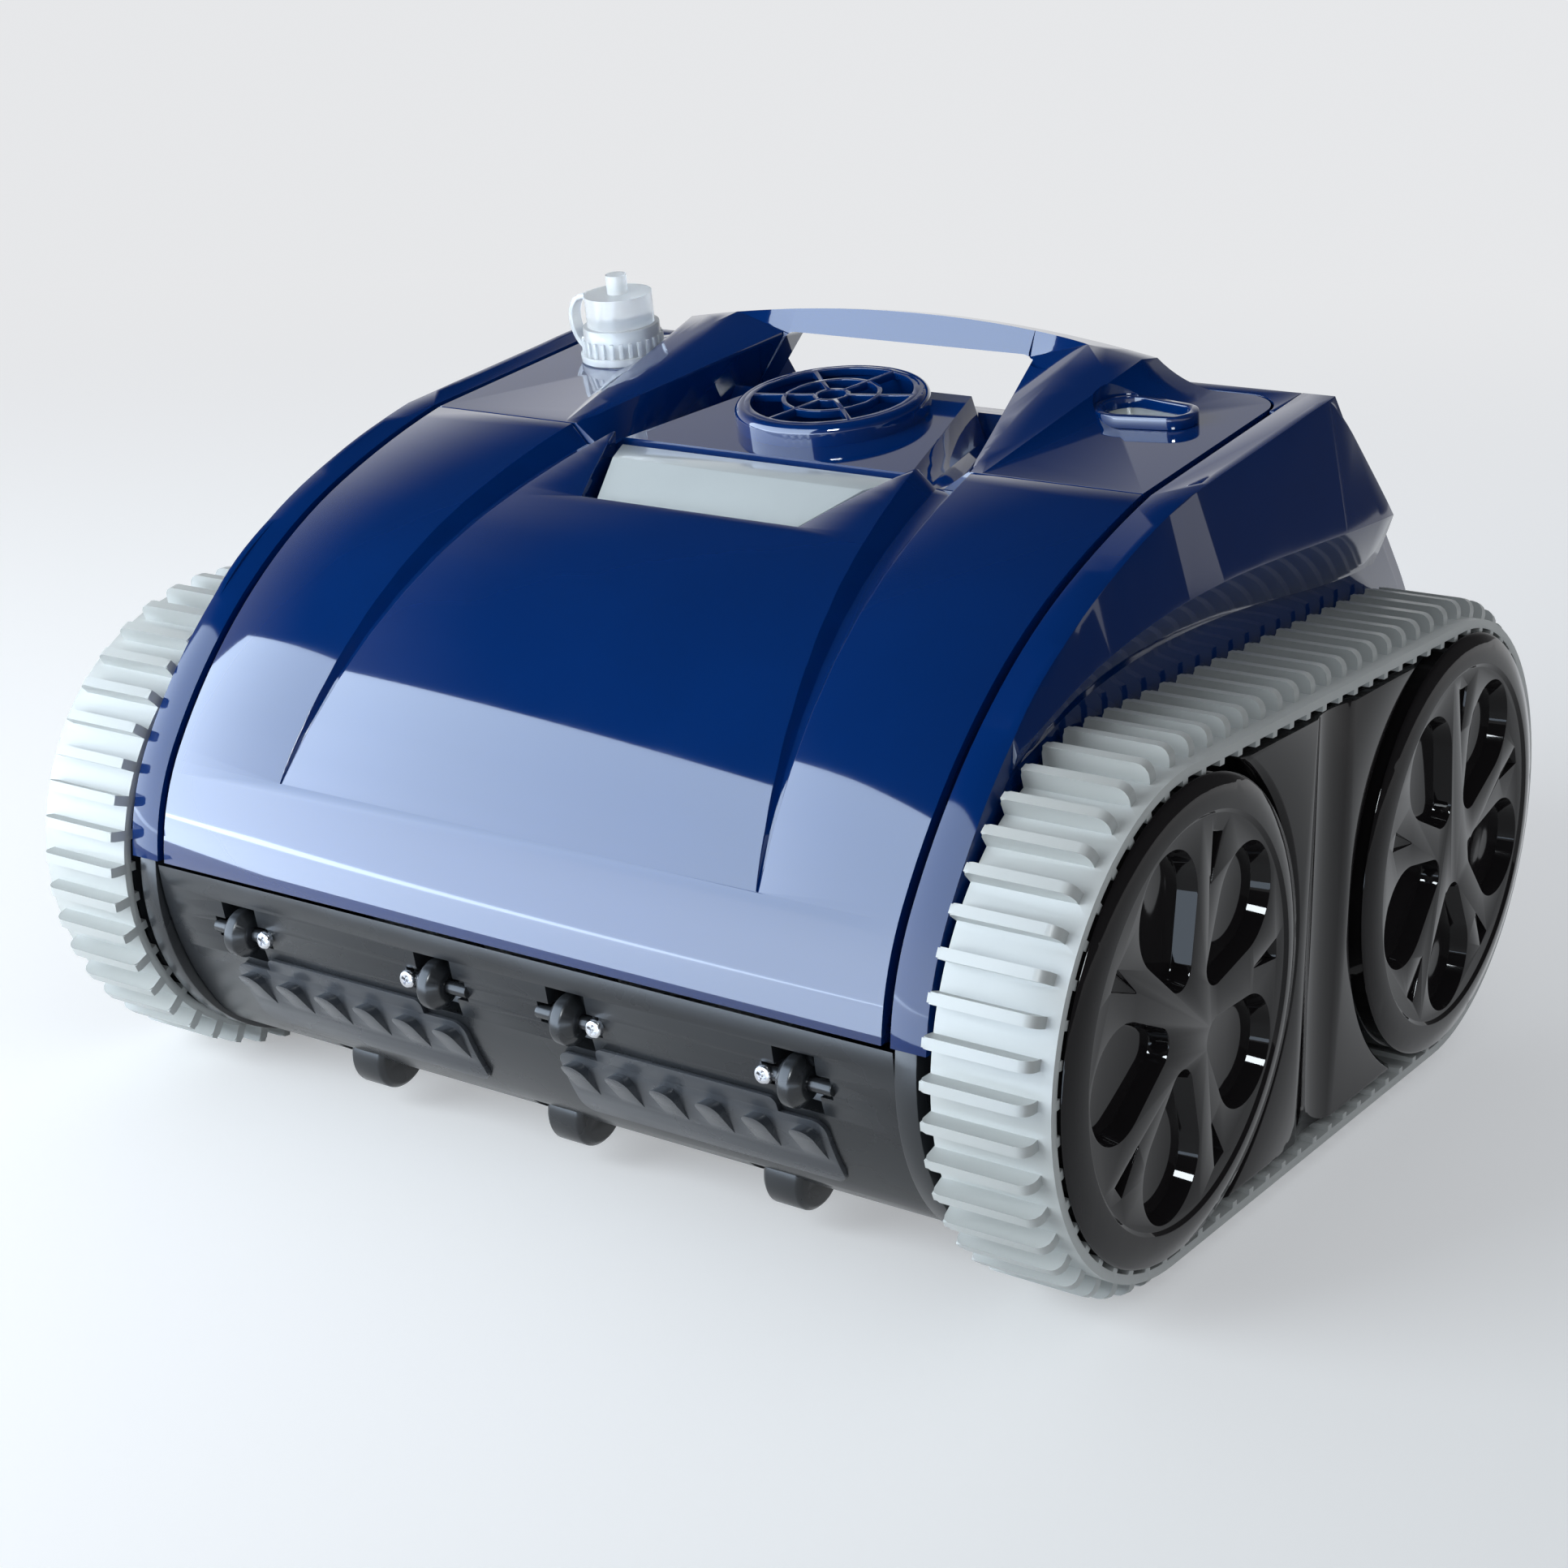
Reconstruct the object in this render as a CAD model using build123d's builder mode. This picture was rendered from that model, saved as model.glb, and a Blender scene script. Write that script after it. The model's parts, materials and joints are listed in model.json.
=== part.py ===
"""Cordless robotic pool cleaner: a tracked underwater crawler with a hinged bonnet over its filter.

Frame: millimetres, +X to the machine's own left-hand track as seen from the front, +Y to the rear, +Z up.
The origin is on the pool floor, below the middle of the machine.
"""

import os
from math import cos, hypot, radians, sin

from build123d import *

# ---------------------------------------------------------------- driving dimensions (mm)

# running gear
WHEEL_BASE = 230.0       # front axle to rear axle
FIN_TIP_RADIUS = 97.0    # over the belt's paddles: also the height of the axles
BELT_RADIUS = 90.0       # over the belt's band
BAND_THICKNESS = 3.5
RIB_HEIGHT = 2.2         # drive ribs inside the band
RIB_WIDTH = 3.4
BELT_WIDTH = 44.0
TRACK_INNER = 183.0      # from the middle of the machine to the belt's inner edge
FIN_THICKNESS = 3.2
FIN_SETBACK = 5.0        # the paddle stops this far short of the belt's outer edge
FIN_CORNER = 6.5         # chamfer on the paddle's outer top corner
FINS_PER_END = 21        # paddles round each wheel
FINS_PER_RUN = 17        # paddles on each straight run
WHEEL_CLEARANCE = 0.3    # from the drum to the drive ribs
DRUM_RIM = 6.0
DRUM_WEB = 7.0
HUB_RADIUS = 17.0
AXLE_RADIUS = 6.0
AXLE_RUNNING = 0.05      # radial running clearance of every turning fit
BEARING_RADIUS = 11.0
SPOKE_COUNT = 5

# wheel caps
CAP_RADIUS = 85.0
CAP_PROUD = 4.0          # past the belt's outer edge
CAP_CREASE_RADIUS = 73.0
CAP_DISH = 1.2
CAP_WALL = 4.6
PETAL_WALL = 2.4
PETAL_DEPTH = 7.0        # scooped petals, as round-ended wedges
PETAL_TIP_AT = 49.5
PETAL_TIP_RADIUS = 20.5
PETAL_ROOT_AT = 24.0
PETAL_ROOT_RADIUS = 8.0
PETAL_DRAFT = 12.0       # degrees
NOTCH_AT = 56.0          # small scoops between the petals
NOTCH_LENGTH = 20.0
NOTCH_WIDTH = 8.0
NOTCH_DEPTH = 3.6

# track guards between the wheels
GUARD_GAP = 5.5          # round the wheel caps
GUARD_THICKNESS = 6.0
GUARD_TO_BELT = 2.6
GUARD_POST_RADIUS = 7.0

# body
LID_HALF_WIDTH = 163.0
LID_GAP = 3.5            # shadow gap beside the bonnet
STRIP_OUTER = 180.0      # outer edge of the strips beside the bonnet
SKIN = 3.0
FLANGE = 12.0            # depth of the turned-in edges of the bonnet and the top cover
WAIST_Z = 102.0          # parting height of the blue shell and the black housing
WAIST_GAP = 0.8
FRONT_Y = -203.0         # front of the bonnet at the waist
BROW_END = (-191.2, 146.4)   # joins of the three arcs of the bonnet's side profile
FACE_END = (-94.6, 234.1)
SEAM_Y = -35.0           # parting of bonnet and top cover
SEAM_Z = 255.5
SEAM_GAP = 0.8
RIDGE_Y = 88.0           # rear end of the top cover
RIDGE_Z = 275.0
REAR_KNEE_Y = 160.0
REAR_KNEE_Z = 196.0
HOUSING_RADIUS = 88.0    # the side frames' ends are struck from the axles
HOUSING_HALF_WIDTH = 167.0
FLOOR_Z = 20.0           # underside of the housing
FRONT_MID = (-194.5, 70.0)   # the housing's front runs through here
FRONT_FOOT = (-176.0, 37.0)  # and curves under from here
FRONT_HEEL_Y = -150.0
HOUSING_WALL = 3.5
FRAME_INNER = 168.0      # side frames, between the housing and the tracks
FRAME_SEAT = 176.5

# bonnet grooves and the channel they run into
CHANNEL_Z = 247.8        # channel floor at the seam
CHANNEL_INNER = 74.5
CHANNEL_OUTER = 80.7
RAIL_INNER = 92.3        # top edge of the rail at the seam
BLOCK_HALF_WIDTH = 66.5
BLOCK_Z = 252.3
GROOVE_TIP_X = 108.0

# outlet
BLOCK_REAR_Y = 48.0
BLOCK_REAR_HALF = 43.0
BLOCK_SLOPE = 0.185      # rise per unit of length towards the rear
OUTLET_Y = 14.0
OUTLET_RADIUS = 39.0
OUTLET_BORE = 33.5
OUTLET_RISE = 8.0
GRILLE_SPOKES = 6
GRILLE_HUB = 7.5
GRILLE_RING = 20.0
GRILLE_RIB = 1.8

# handle
HANDLE_CREST_Y = 75.0
HANDLE_CREST_Z = 295.0
HANDLE_UNDER_Z = 283.0
HANDLE_HALF_WIDTH = 108.0
HANDLE_SHOULDER_Z = 286.0
GRIP_HALF_WIDTH = 58.0   # of the finger opening, under the bar
GRIP_FLOOR_HALF = 78.0

# latch
LATCH_HALF_FRONT = 50.0
LATCH_HALF_REAR = 68.0
LATCH_FRONT_Y = -84.0
LATCH_REAR_Y = -42.0
LATCH_POCKET = 22.0
LATCH_PIN_RADIUS = 2.5
LATCH_PLATE = 3.6

# switch and charging port
SWITCH_X = 125.0
SWITCH_Y = 40.0
SWITCH_LONG = 21.0
SWITCH_SHORT = 13.5
SWITCH_TIP = 10.0
SWITCH_TRAVEL = 2.0
PORT_X = -130.0
PORT_Y = 48.0
PORT_RADIUS = 16.5
PORT_RISE = 20.0
PORT_CAP_RADIUS = 14.5
PORT_CAP_HEIGHT = 17.0

# front rollers and pads: each pad has a roller above each of its ends
PAD_X = 78.8
ROLLER_OFFSET = 48.2     # roller from the middle of its pad
ROLLER_Y = -197.5
ROLLER_Z = 80.5
ROLLER_RADIUS = 9.5
ROLLER_WIDTH = 11.0
ROLLER_NOSE = 5.6
ROLLER_NOSE_WIDTH = 4.0
ROLLER_PIN_RADIUS = 2.5
ROLLER_PIN_IN = 13.5     # pin end on the pad's side, from the roller's middle
ROLLER_PIN_OUT = 14.5
WINDOW_WIDTH = 17.0
WINDOW_TOP_Z = 92.0
WINDOW_BOTTOM_Z = 69.0
WINDOW_DEPTH = 22.0
PAD_TOP_Z = 71.5
PAD_BOTTOM_Z = 38.0
PAD_THICKNESS = 2.0
PAD_RIBS = 6
PAD_PITCH = 19.5
PAD_RIB_WIDTH = 9.5
PAD_RIB_HEIGHT = 8.0      # at the fin's tip
PAD_FIN_TIP_Z = 63.5
PAD_FIN_FOOT_Z = 45.0
PAD_MARGIN = 3.0

# casters
CASTER_X = 98.0
CASTER_Y = -152.0
CASTER_Z = 24.0
CASTER_RADIUS = 14.0
CASTER_WIDTH = 17.0

# inside
MOTOR_RADIUS = 19.0
MOTOR_LENGTH = 70.0
GEAR_TEETH = 30
PINION_TEETH = 10
GEAR_MODULE = 2.0
GEAR_WIDTH = 8.0
PUMP_RADIUS = 27.0
IMPELLER_RADIUS = 29.0
BLADE_COUNT = 5
BASKET_HALF_WIDTH = 105.0
BASKET_FRONT_Y = -150.0
BASKET_REAR_Y = -48.0
BASKET_FLOOR_Z = 46.0
BASKET_TOP_Z = 150.0
BASKET_WALL = 2.5
INTAKE_HALF_WIDTH = 60.0
INTAKE_HALF_DEPTH = 14.0
INTAKE_Y = -100.0
SCREW_HEAD_RADIUS = 4.0
SCREW_HEAD_HEIGHT = 2.5

# ---------------------------------------------------------------- values worked out from them

AXLE_Z = FIN_TIP_RADIUS
FRONT_AXLE_Y = -WHEEL_BASE / 2
REAR_AXLE_Y = WHEEL_BASE / 2
BAND_INSIDE = BELT_RADIUS - BAND_THICKNESS
RIB_TIP = BAND_INSIDE - RIB_HEIGHT
DRUM_RADIUS = RIB_TIP - WHEEL_CLEARANCE
TRACK_OUTER = TRACK_INNER + BELT_WIDTH
FACE = 0.3               # gap between curved faces of different bodies

os.makedirs("parts", exist_ok=True)


def write(piece, name):
    """Label a finished piece and write it as one STEP file."""
    piece.part.label = name
    export_step(piece.part, f"parts/{name}.step")


def mirrored(piece, name):
    """Write the copy of a piece on the other side of the machine."""
    with BuildPart() as twin:
        add(mirror(piece.part, about=Plane.YZ))
    write(twin, name)
    return twin


# ---------------------------------------------------------------- side profile of the body

BELOW = 60.0             # the outline is carried this far below the waist before it is cut off
BIG = 900.0              # larger than the machine, for cutting


def bonnet_curve():
    """The bonnet's side profile from the waist to the seam: three arcs, each flatter than the last."""
    with BuildLine() as profile:
        brow = TangentArc((FRONT_Y, WAIST_Z), BROW_END, tangent=(0, 1))
        face = TangentArc(brow @ 1, FACE_END, tangent=brow % 1)
        TangentArc(face @ 1, (SEAM_Y, SEAM_Z), tangent=face % 1)
    return profile.wires()[0]


def body_face():
    """Side view of the shell, carried below the waist, as a flat closed sketch."""
    with BuildSketch() as sketch:
        with BuildLine():
            add(bonnet_curve())
            Line((SEAM_Y, SEAM_Z), (RIDGE_Y, RIDGE_Z))
            slope = Line((RIDGE_Y, RIDGE_Z), (REAR_KNEE_Y, REAR_KNEE_Z))
            back = TangentArc(slope @ 1, (-FRONT_Y, WAIST_Z), tangent=slope % 1)
            Polyline(back @ 1, (-FRONT_Y, WAIST_Z - BELOW), (FRONT_Y, WAIST_Z - BELOW), (FRONT_Y, WAIST_Z))
        make_face()
    return sketch.sketch


def housing_face():
    """Side view of the black housing below the waist."""
    with BuildSketch() as sketch:
        with BuildLine():
            front = ThreePointArc((FRONT_Y + 0.5, WAIST_Z), FRONT_MID, FRONT_FOOT)
            heel = TangentArc(front @ 1, (FRONT_HEEL_Y, FLOOR_Z), tangent=front % 1)
            under = Line(heel @ 1, (-FRONT_HEEL_Y, FLOOR_Z))
            tail = ThreePointArc(under @ 1, (-FRONT_FOOT[0], FRONT_FOOT[1]), (-FRONT_MID[0], FRONT_MID[1]))
            rise = Line(tail @ 1, (-FRONT_Y, WAIST_Z))
            Line(rise @ 1, front @ 0)
        make_face()
    return sketch.sketch


BODY = {0.0: body_face()}


def inset(depth):
    """The shell's outline, a set depth below its surface."""
    if depth not in BODY:
        BODY[depth] = offset(BODY[0.0], amount=-depth)
    return BODY[depth]


def slab(depth_outer, depth_inner, x_from, x_to, y_from=-BIG, y_to=BIG, z_from=WAIST_Z + WAIST_GAP):
    """A curved slab that follows the shell's outline between two depths below it."""
    outer = inset(depth_outer)
    inner = inset(depth_inner)
    with BuildPart() as piece:
        with BuildSketch(Plane.YZ.offset(x_from)):
            add(outer)
            add(inner, mode=Mode.SUBTRACT)
        extrude(amount=x_to - x_from, dir=(1, 0, 0))
        with Locations(((x_from + x_to) / 2, max(y_from, -BIG), z_from)):
            Box(BIG, min(y_to, BIG) - max(y_from, -BIG), BIG, mode=Mode.INTERSECT,
                align=(Align.CENTER, Align.MIN, Align.MIN))
    return piece.part


def side_slab(depth, x_from, x_to, y_from=-BIG, y_to=BIG, z_from=WAIST_Z + WAIST_GAP):
    """A solid slice of the body inside its outline."""
    outline = inset(depth)
    with BuildPart() as piece:
        with BuildSketch(Plane.YZ.offset(x_from)):
            add(outline)
        extrude(amount=x_to - x_from, dir=(1, 0, 0))
        with Locations(((x_from + x_to) / 2, max(y_from, -BIG), z_from)):
            Box(BIG, min(y_to, BIG) - max(y_from, -BIG), BIG, mode=Mode.INTERSECT,
                align=(Align.CENTER, Align.MIN, Align.MIN))
    return piece.part


def plan_prism(points, z_from, z_to):
    """An upright prism over a plan outline."""
    with BuildPart() as piece:
        with BuildSketch(Plane.XY.offset(z_from)):
            Polygon(*points, align=None)
        extrude(amount=z_to - z_from)
    return piece.part


def rod(x_from, x_to, y, z, radius):
    """A round bar along X."""
    with BuildPart() as piece:
        with BuildSketch(Plane.YZ.offset(x_from)):
            with Locations((y, z)):
                Circle(radius)
        extrude(amount=x_to - x_from)
    return piece.part


def plank(x_from, x_to, y_from, y_to, z_from, z_to):
    """A squared block between six limits."""
    with BuildPart() as piece:
        with Locations(((x_from + x_to) / 2, (y_from + y_to) / 2, (z_from + z_to) / 2)):
            Box(x_to - x_from, y_to - y_from, z_to - z_from)
    return piece.part


def upright(outline, x_from, x_to):
    """A flat side-view outline made solid between two places along X."""
    with BuildPart() as piece:
        with BuildSketch(Plane.YZ.offset(x_from)):
            add(outline)
        extrude(amount=x_to - x_from, dir=(1, 0, 0))
    return piece.part


def stadium(radius):
    """A flat outline struck with one radius from both axles."""
    with BuildSketch() as sketch:
        with Locations((0, AXLE_Z)):
            SlotCenterToCenter(WHEEL_BASE, 2 * radius)
    return sketch.sketch


# ---------------------------------------------------------------- bonnet

LID_REAR_Y = SEAM_Y - SEAM_GAP / 2
COVER_FRONT_Y = SEAM_Y + SEAM_GAP / 2
GROOVE_DEPTH = SEAM_Z - CHANNEL_Z
LID_AXIS_Y = FRONT_Y + 11.0
LID_AXIS_Z = WAIST_Z + 10.0
LID_LIP = 0.8            # bonnet's lower edge above the waist
LID_SWEEP = hypot(LID_AXIS_Y - FRONT_Y, LID_AXIS_Z - WAIST_Z - LID_LIP) + 0.6
LUG_INNER = 142.0
LUG_WIDTH = 7.0
ARM_WIDTH = 6.0
LUG_RADIUS = 5.0
HINGE_PIN_RADIUS = 2.5
GROOVE_STATIONS = 10
GROOVE_START = 0.17      # share of the profile's length below the groove's tip


def groove(side, grow):
    """The tapering V groove beside the bonnet's middle panel; grow thickens it for its backing."""
    curve = bonnet_curve()
    with BuildPart() as piece:
        for station in range(GROOVE_STATIONS + 1):
            share = station / GROOVE_STATIONS
            at = GROOVE_START + (1.06 - GROOVE_START) * share
            point = curve @ min(at, 1)
            heading = curve % min(at, 1)
            reach = max(at - 1, 0) * curve.length
            y = point.X + heading.X * reach
            z = point.Y + heading.Y * reach
            middle = GROOVE_TIP_X + ((RAIL_INNER + BLOCK_HALF_WIDTH) / 2 - GROOVE_TIP_X) * share
            half = 1.0 + ((RAIL_INNER - BLOCK_HALF_WIDTH) / 2 - 1.0) * share + grow
            floor = half * 0.3
            depth = 0.6 + (GROOVE_DEPTH - 0.6) * share ** 0.8 + grow
            lift = 1.5 + grow
            plane = Plane(origin=(side * middle, y, z), x_dir=(side, 0, 0), z_dir=(0, heading.X, heading.Y))
            down = -1 if plane.y_dir.Z > 0 else 1
            with BuildSketch(plane):
                Polygon((-half * 1.1, -down * lift), (half * 1.1, -down * lift), (floor, down * depth),
                        (-floor, down * depth), align=None)
        loft(ruled=True)
    return piece.part


def latch_plan(clearance, rear_y):
    """Plan of the latch's place, narrower to the front."""
    slope = (LATCH_HALF_REAR - LATCH_HALF_FRONT) / (LATCH_REAR_Y - LATCH_FRONT_Y)
    front_y = LATCH_FRONT_Y + clearance
    front = LATCH_HALF_FRONT - clearance
    rear = LATCH_HALF_FRONT + slope * (rear_y - LATCH_FRONT_Y) - clearance
    return [(-front, front_y), (front, front_y), (rear, rear_y), (-rear, rear_y)]


POCKET_WALL = 2.5
POCKET_FLOOR_Z = SEAM_Z - LATCH_POCKET - 8.0
LATCH_AXIS_Y = LATCH_FRONT_Y + 9.0
LATCH_AXIS_Z = POCKET_FLOOR_Z + 7.0
LATCH_SILL_Z = BLOCK_Z - 7.0

lid_volume = side_slab(0.0, -LID_HALF_WIDTH, LID_HALF_WIDTH, y_to=LID_REAR_Y)
lid_core = side_slab(FLANGE, -BIG / 2, BIG / 2, z_from=0)
lid_hollow = side_slab(SKIN, SKIN - LID_HALF_WIDTH, LID_HALF_WIDTH - SKIN, y_to=LID_REAR_Y - SKIN, z_from=0)
groove_cut = groove(1, 0.0)
groove_back = groove(1, SKIN) & lid_volume
latch_hood = plan_prism(latch_plan(-POCKET_WALL, LID_REAR_Y), POCKET_FLOOR_Z - POCKET_WALL, SEAM_Z) & lid_volume
latch_well = plan_prism(latch_plan(0.0, LID_REAR_Y - 2.0), POCKET_FLOOR_Z, BIG)
latch_sill = plan_prism(latch_plan(0.0, LID_REAR_Y + 1.0), LATCH_SILL_Z, BIG)
latch_span = plan_prism(latch_plan(1.0 - POCKET_WALL, LID_REAR_Y), 0, BIG)
latch_hole = rod(-BIG, BIG, LATCH_AXIS_Y, LATCH_AXIS_Z, LATCH_PIN_RADIUS) & latch_span
hinge_bore = rod(-BIG, BIG, LID_AXIS_Y, LID_AXIS_Z, HINGE_PIN_RADIUS + AXLE_RUNNING)

with BuildPart() as lid_lug:
    with BuildSketch(Plane.YZ.offset(LUG_INNER)):
        with Locations((LID_AXIS_Y, LID_AXIS_Z)):
            Circle(LUG_RADIUS)
        Polygon((LID_AXIS_Y, LID_AXIS_Z - LUG_RADIUS * 0.9), (LID_AXIS_Y, LID_AXIS_Z + LUG_RADIUS * 0.9),
                (FRONT_Y + 7.0, WAIST_Z + 32.0), (FRONT_Y + SKIN - 0.6, WAIST_Z + 8.0), align=None)
    extrude(amount=LUG_WIDTH)

with BuildPart() as front_lid:
    add(lid_volume)
    add([lid_core, lid_hollow], mode=Mode.SUBTRACT)
    add([groove_back, mirror(groove_back, about=Plane.YZ)])
    add(latch_hood)
    add([groove_cut, mirror(groove_cut, about=Plane.YZ)], mode=Mode.SUBTRACT)
    add([latch_well, latch_sill], mode=Mode.SUBTRACT)
    add([lid_lug.part, mirror(lid_lug.part, about=Plane.YZ)])
    add([hinge_bore, latch_hole], mode=Mode.SUBTRACT)
write(front_lid, "front_lid")


# the seal under the bonnet's rear edge, pressed between it and the top cover's lip
SEAL_HEIGHT = 3.0
seal_hollow = side_slab(FLANGE + SEAL_HEIGHT, -BIG / 2, BIG / 2, z_from=0)
seal_body = side_slab(FLANGE + FACE, 20.0 - LID_HALF_WIDTH, LID_HALF_WIDTH - 20.0,
                      LID_REAR_Y - SKIN, LID_REAR_Y)

with BuildPart() as lid_seal:
    add(seal_body)
    add(seal_hollow, mode=Mode.SUBTRACT)
    add(plan_prism(latch_plan(-POCKET_WALL - 1.0, LID_REAR_Y + 1.0), 0, BIG), mode=Mode.SUBTRACT)
write(lid_seal, "lid_seal")

# ---------------------------------------------------------------- latch

LATCH_SIDE = 4.0
LATCH_BOSS = 5.0
latch_body = plan_prism(latch_plan(LATCH_SIDE, LATCH_REAR_Y + 4.6), 0, BIG)

with BuildPart() as lid_latch:
    with BuildSketch(Plane.YZ.offset(-BIG / 4)) as lever:
        fold = (LATCH_REAR_Y - 12.0, BLOCK_Z - 4.0)
        toe = (LATCH_AXIS_Y - LATCH_BOSS + 0.5, LATCH_AXIS_Z + LATCH_BOSS)
        Polygon((LATCH_REAR_Y + 4.0, BLOCK_Z - 2.0), fold, toe, (toe[0] - 0.5, LATCH_AXIS_Z),
                (LATCH_AXIS_Y - 2.0, LATCH_AXIS_Z - LATCH_BOSS), (LATCH_AXIS_Y + 2.0, LATCH_AXIS_Z - LATCH_BOSS),
                (LATCH_AXIS_Y + LATCH_BOSS, LATCH_AXIS_Z), (fold[0] - 1.0, fold[1] - LATCH_PLATE),
                (LATCH_REAR_Y + 4.0, BLOCK_Z - 2.0 - LATCH_PLATE), align=None)
        fillet(lever.vertices().sort_by_distance(fold)[0], 3.0)
        fillet(lever.vertices().sort_by_distance(toe)[0], 2.0)
    extrude(amount=BIG / 2)
    add(latch_body, mode=Mode.INTERSECT)
    add(rod(-BIG, BIG, LATCH_AXIS_Y, LATCH_AXIS_Z, LATCH_PIN_RADIUS + AXLE_RUNNING), mode=Mode.SUBTRACT)
write(lid_latch, "lid_latch")

with BuildPart() as latch_pin:
    add(latch_hole)
write(latch_pin, "latch_pin")

# ---------------------------------------------------------------- black housing

housing_outline = housing_face()
housing_inner = offset(housing_outline, amount=-HOUSING_WALL)
upper_sweep = rod(-BIG, BIG, LID_AXIS_Y, LID_AXIS_Z, LID_SWEEP)
ROLLERS = [side * PAD_X + pad_side * ROLLER_OFFSET for side in (-1, 1) for pad_side in (-1, 1)]
SCREW_REACH = ROLLER_PIN_IN - 2.5


def roller_facing(x):
    """+1 or -1 along X, towards the pad's middle, where the roller's screw sits."""
    return 1 if x in (ROLLERS[0], ROLLERS[2]) else -1


def roller_pin(x):
    """A roller's pin, from under its screw into the housing on the far side."""
    ends = sorted((x + roller_facing(x) * SCREW_REACH, x - roller_facing(x) * ROLLER_PIN_OUT))
    return rod(*ends, ROLLER_Y, ROLLER_Z, ROLLER_PIN_RADIUS)



def arm_outline():
    """Side view of a hinge arm: an eye round the bonnet's axis on a foot behind it."""
    with BuildSketch() as sketch:
        with Locations((LID_AXIS_Y, LID_AXIS_Z)):
            Circle(LUG_RADIUS)
        Polygon((LID_AXIS_Y, LID_AXIS_Z - LUG_RADIUS + 0.4), (LID_AXIS_Y + 26, LID_AXIS_Z - 14),
                (LID_AXIS_Y + 36, LID_AXIS_Z - 14), (LID_AXIS_Y + 36, LID_AXIS_Z - 4),
                (LID_AXIS_Y, LID_AXIS_Z + LUG_RADIUS - 0.4), align=None)
    return sketch.sketch


ARM_INNER = LUG_INNER + LUG_WIDTH + 1.0
arm = upright(arm_outline(), ARM_INNER, ARM_INNER + ARM_WIDTH)
arm_foot = plank(ARM_INNER, HOUSING_HALF_WIDTH, LID_AXIS_Y + 26, LID_AXIS_Y + 36, 84.0, LID_AXIS_Z - 10)
roller_well = plank(-WINDOW_WIDTH / 2 - 2, WINDOW_WIDTH / 2 + 2, ROLLER_Y - 20, ROLLER_Y + WINDOW_DEPTH - 8,
                    WINDOW_BOTTOM_Z - 2, WINDOW_TOP_Z + 2)
roller_window = plank(-WINDOW_WIDTH / 2, WINDOW_WIDTH / 2, ROLLER_Y - 20, ROLLER_Y + WINDOW_DEPTH - 10,
                      WINDOW_BOTTOM_Z, WINDOW_TOP_Z)
housing_solid = upright(housing_outline, -HOUSING_HALF_WIDTH, HOUSING_HALF_WIDTH)

with BuildPart() as pin_slot:
    with Locations((0, ROLLER_Y + SCREW_HEAD_RADIUS + 0.3, ROLLER_Z)):
        Box(2 * ROLLER_PIN_OUT - 1.5, 25, 2 * SCREW_HEAD_RADIUS + 0.6, align=(Align.CENTER, Align.MAX, Align.CENTER))

POCKET_TOP_Z = CASTER_Z + CASTER_RADIUS + 2.0
CASTER_PIN = CASTER_WIDTH / 2 + 4.0
MOTOR_Y = REAR_AXLE_Y - GEAR_MODULE * (GEAR_TEETH + PINION_TEETH) / 2
MOTOR_INNER = 60.0
DUCT_TOP_Z = BASKET_FLOOR_Z - 0.5
intake_duct = plank(-INTAKE_HALF_WIDTH - 2.5, INTAKE_HALF_WIDTH + 2.5, INTAKE_Y - INTAKE_HALF_DEPTH - 2.5,
                    INTAKE_Y + INTAKE_HALF_DEPTH + 2.5, FLOOR_Z + 1, DUCT_TOP_Z)
cradle = Part() + [plank(x - 2, x + 2, MOTOR_Y - MOTOR_RADIUS - 3, MOTOR_Y + MOTOR_RADIUS + 3, FLOOR_Z + 1, AXLE_Z)
                   for x in (MOTOR_INNER + 10, MOTOR_INNER + MOTOR_LENGTH - 12)]
cradle = cradle - rod(0, BIG, MOTOR_Y, AXLE_Z, MOTOR_RADIUS)

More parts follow.
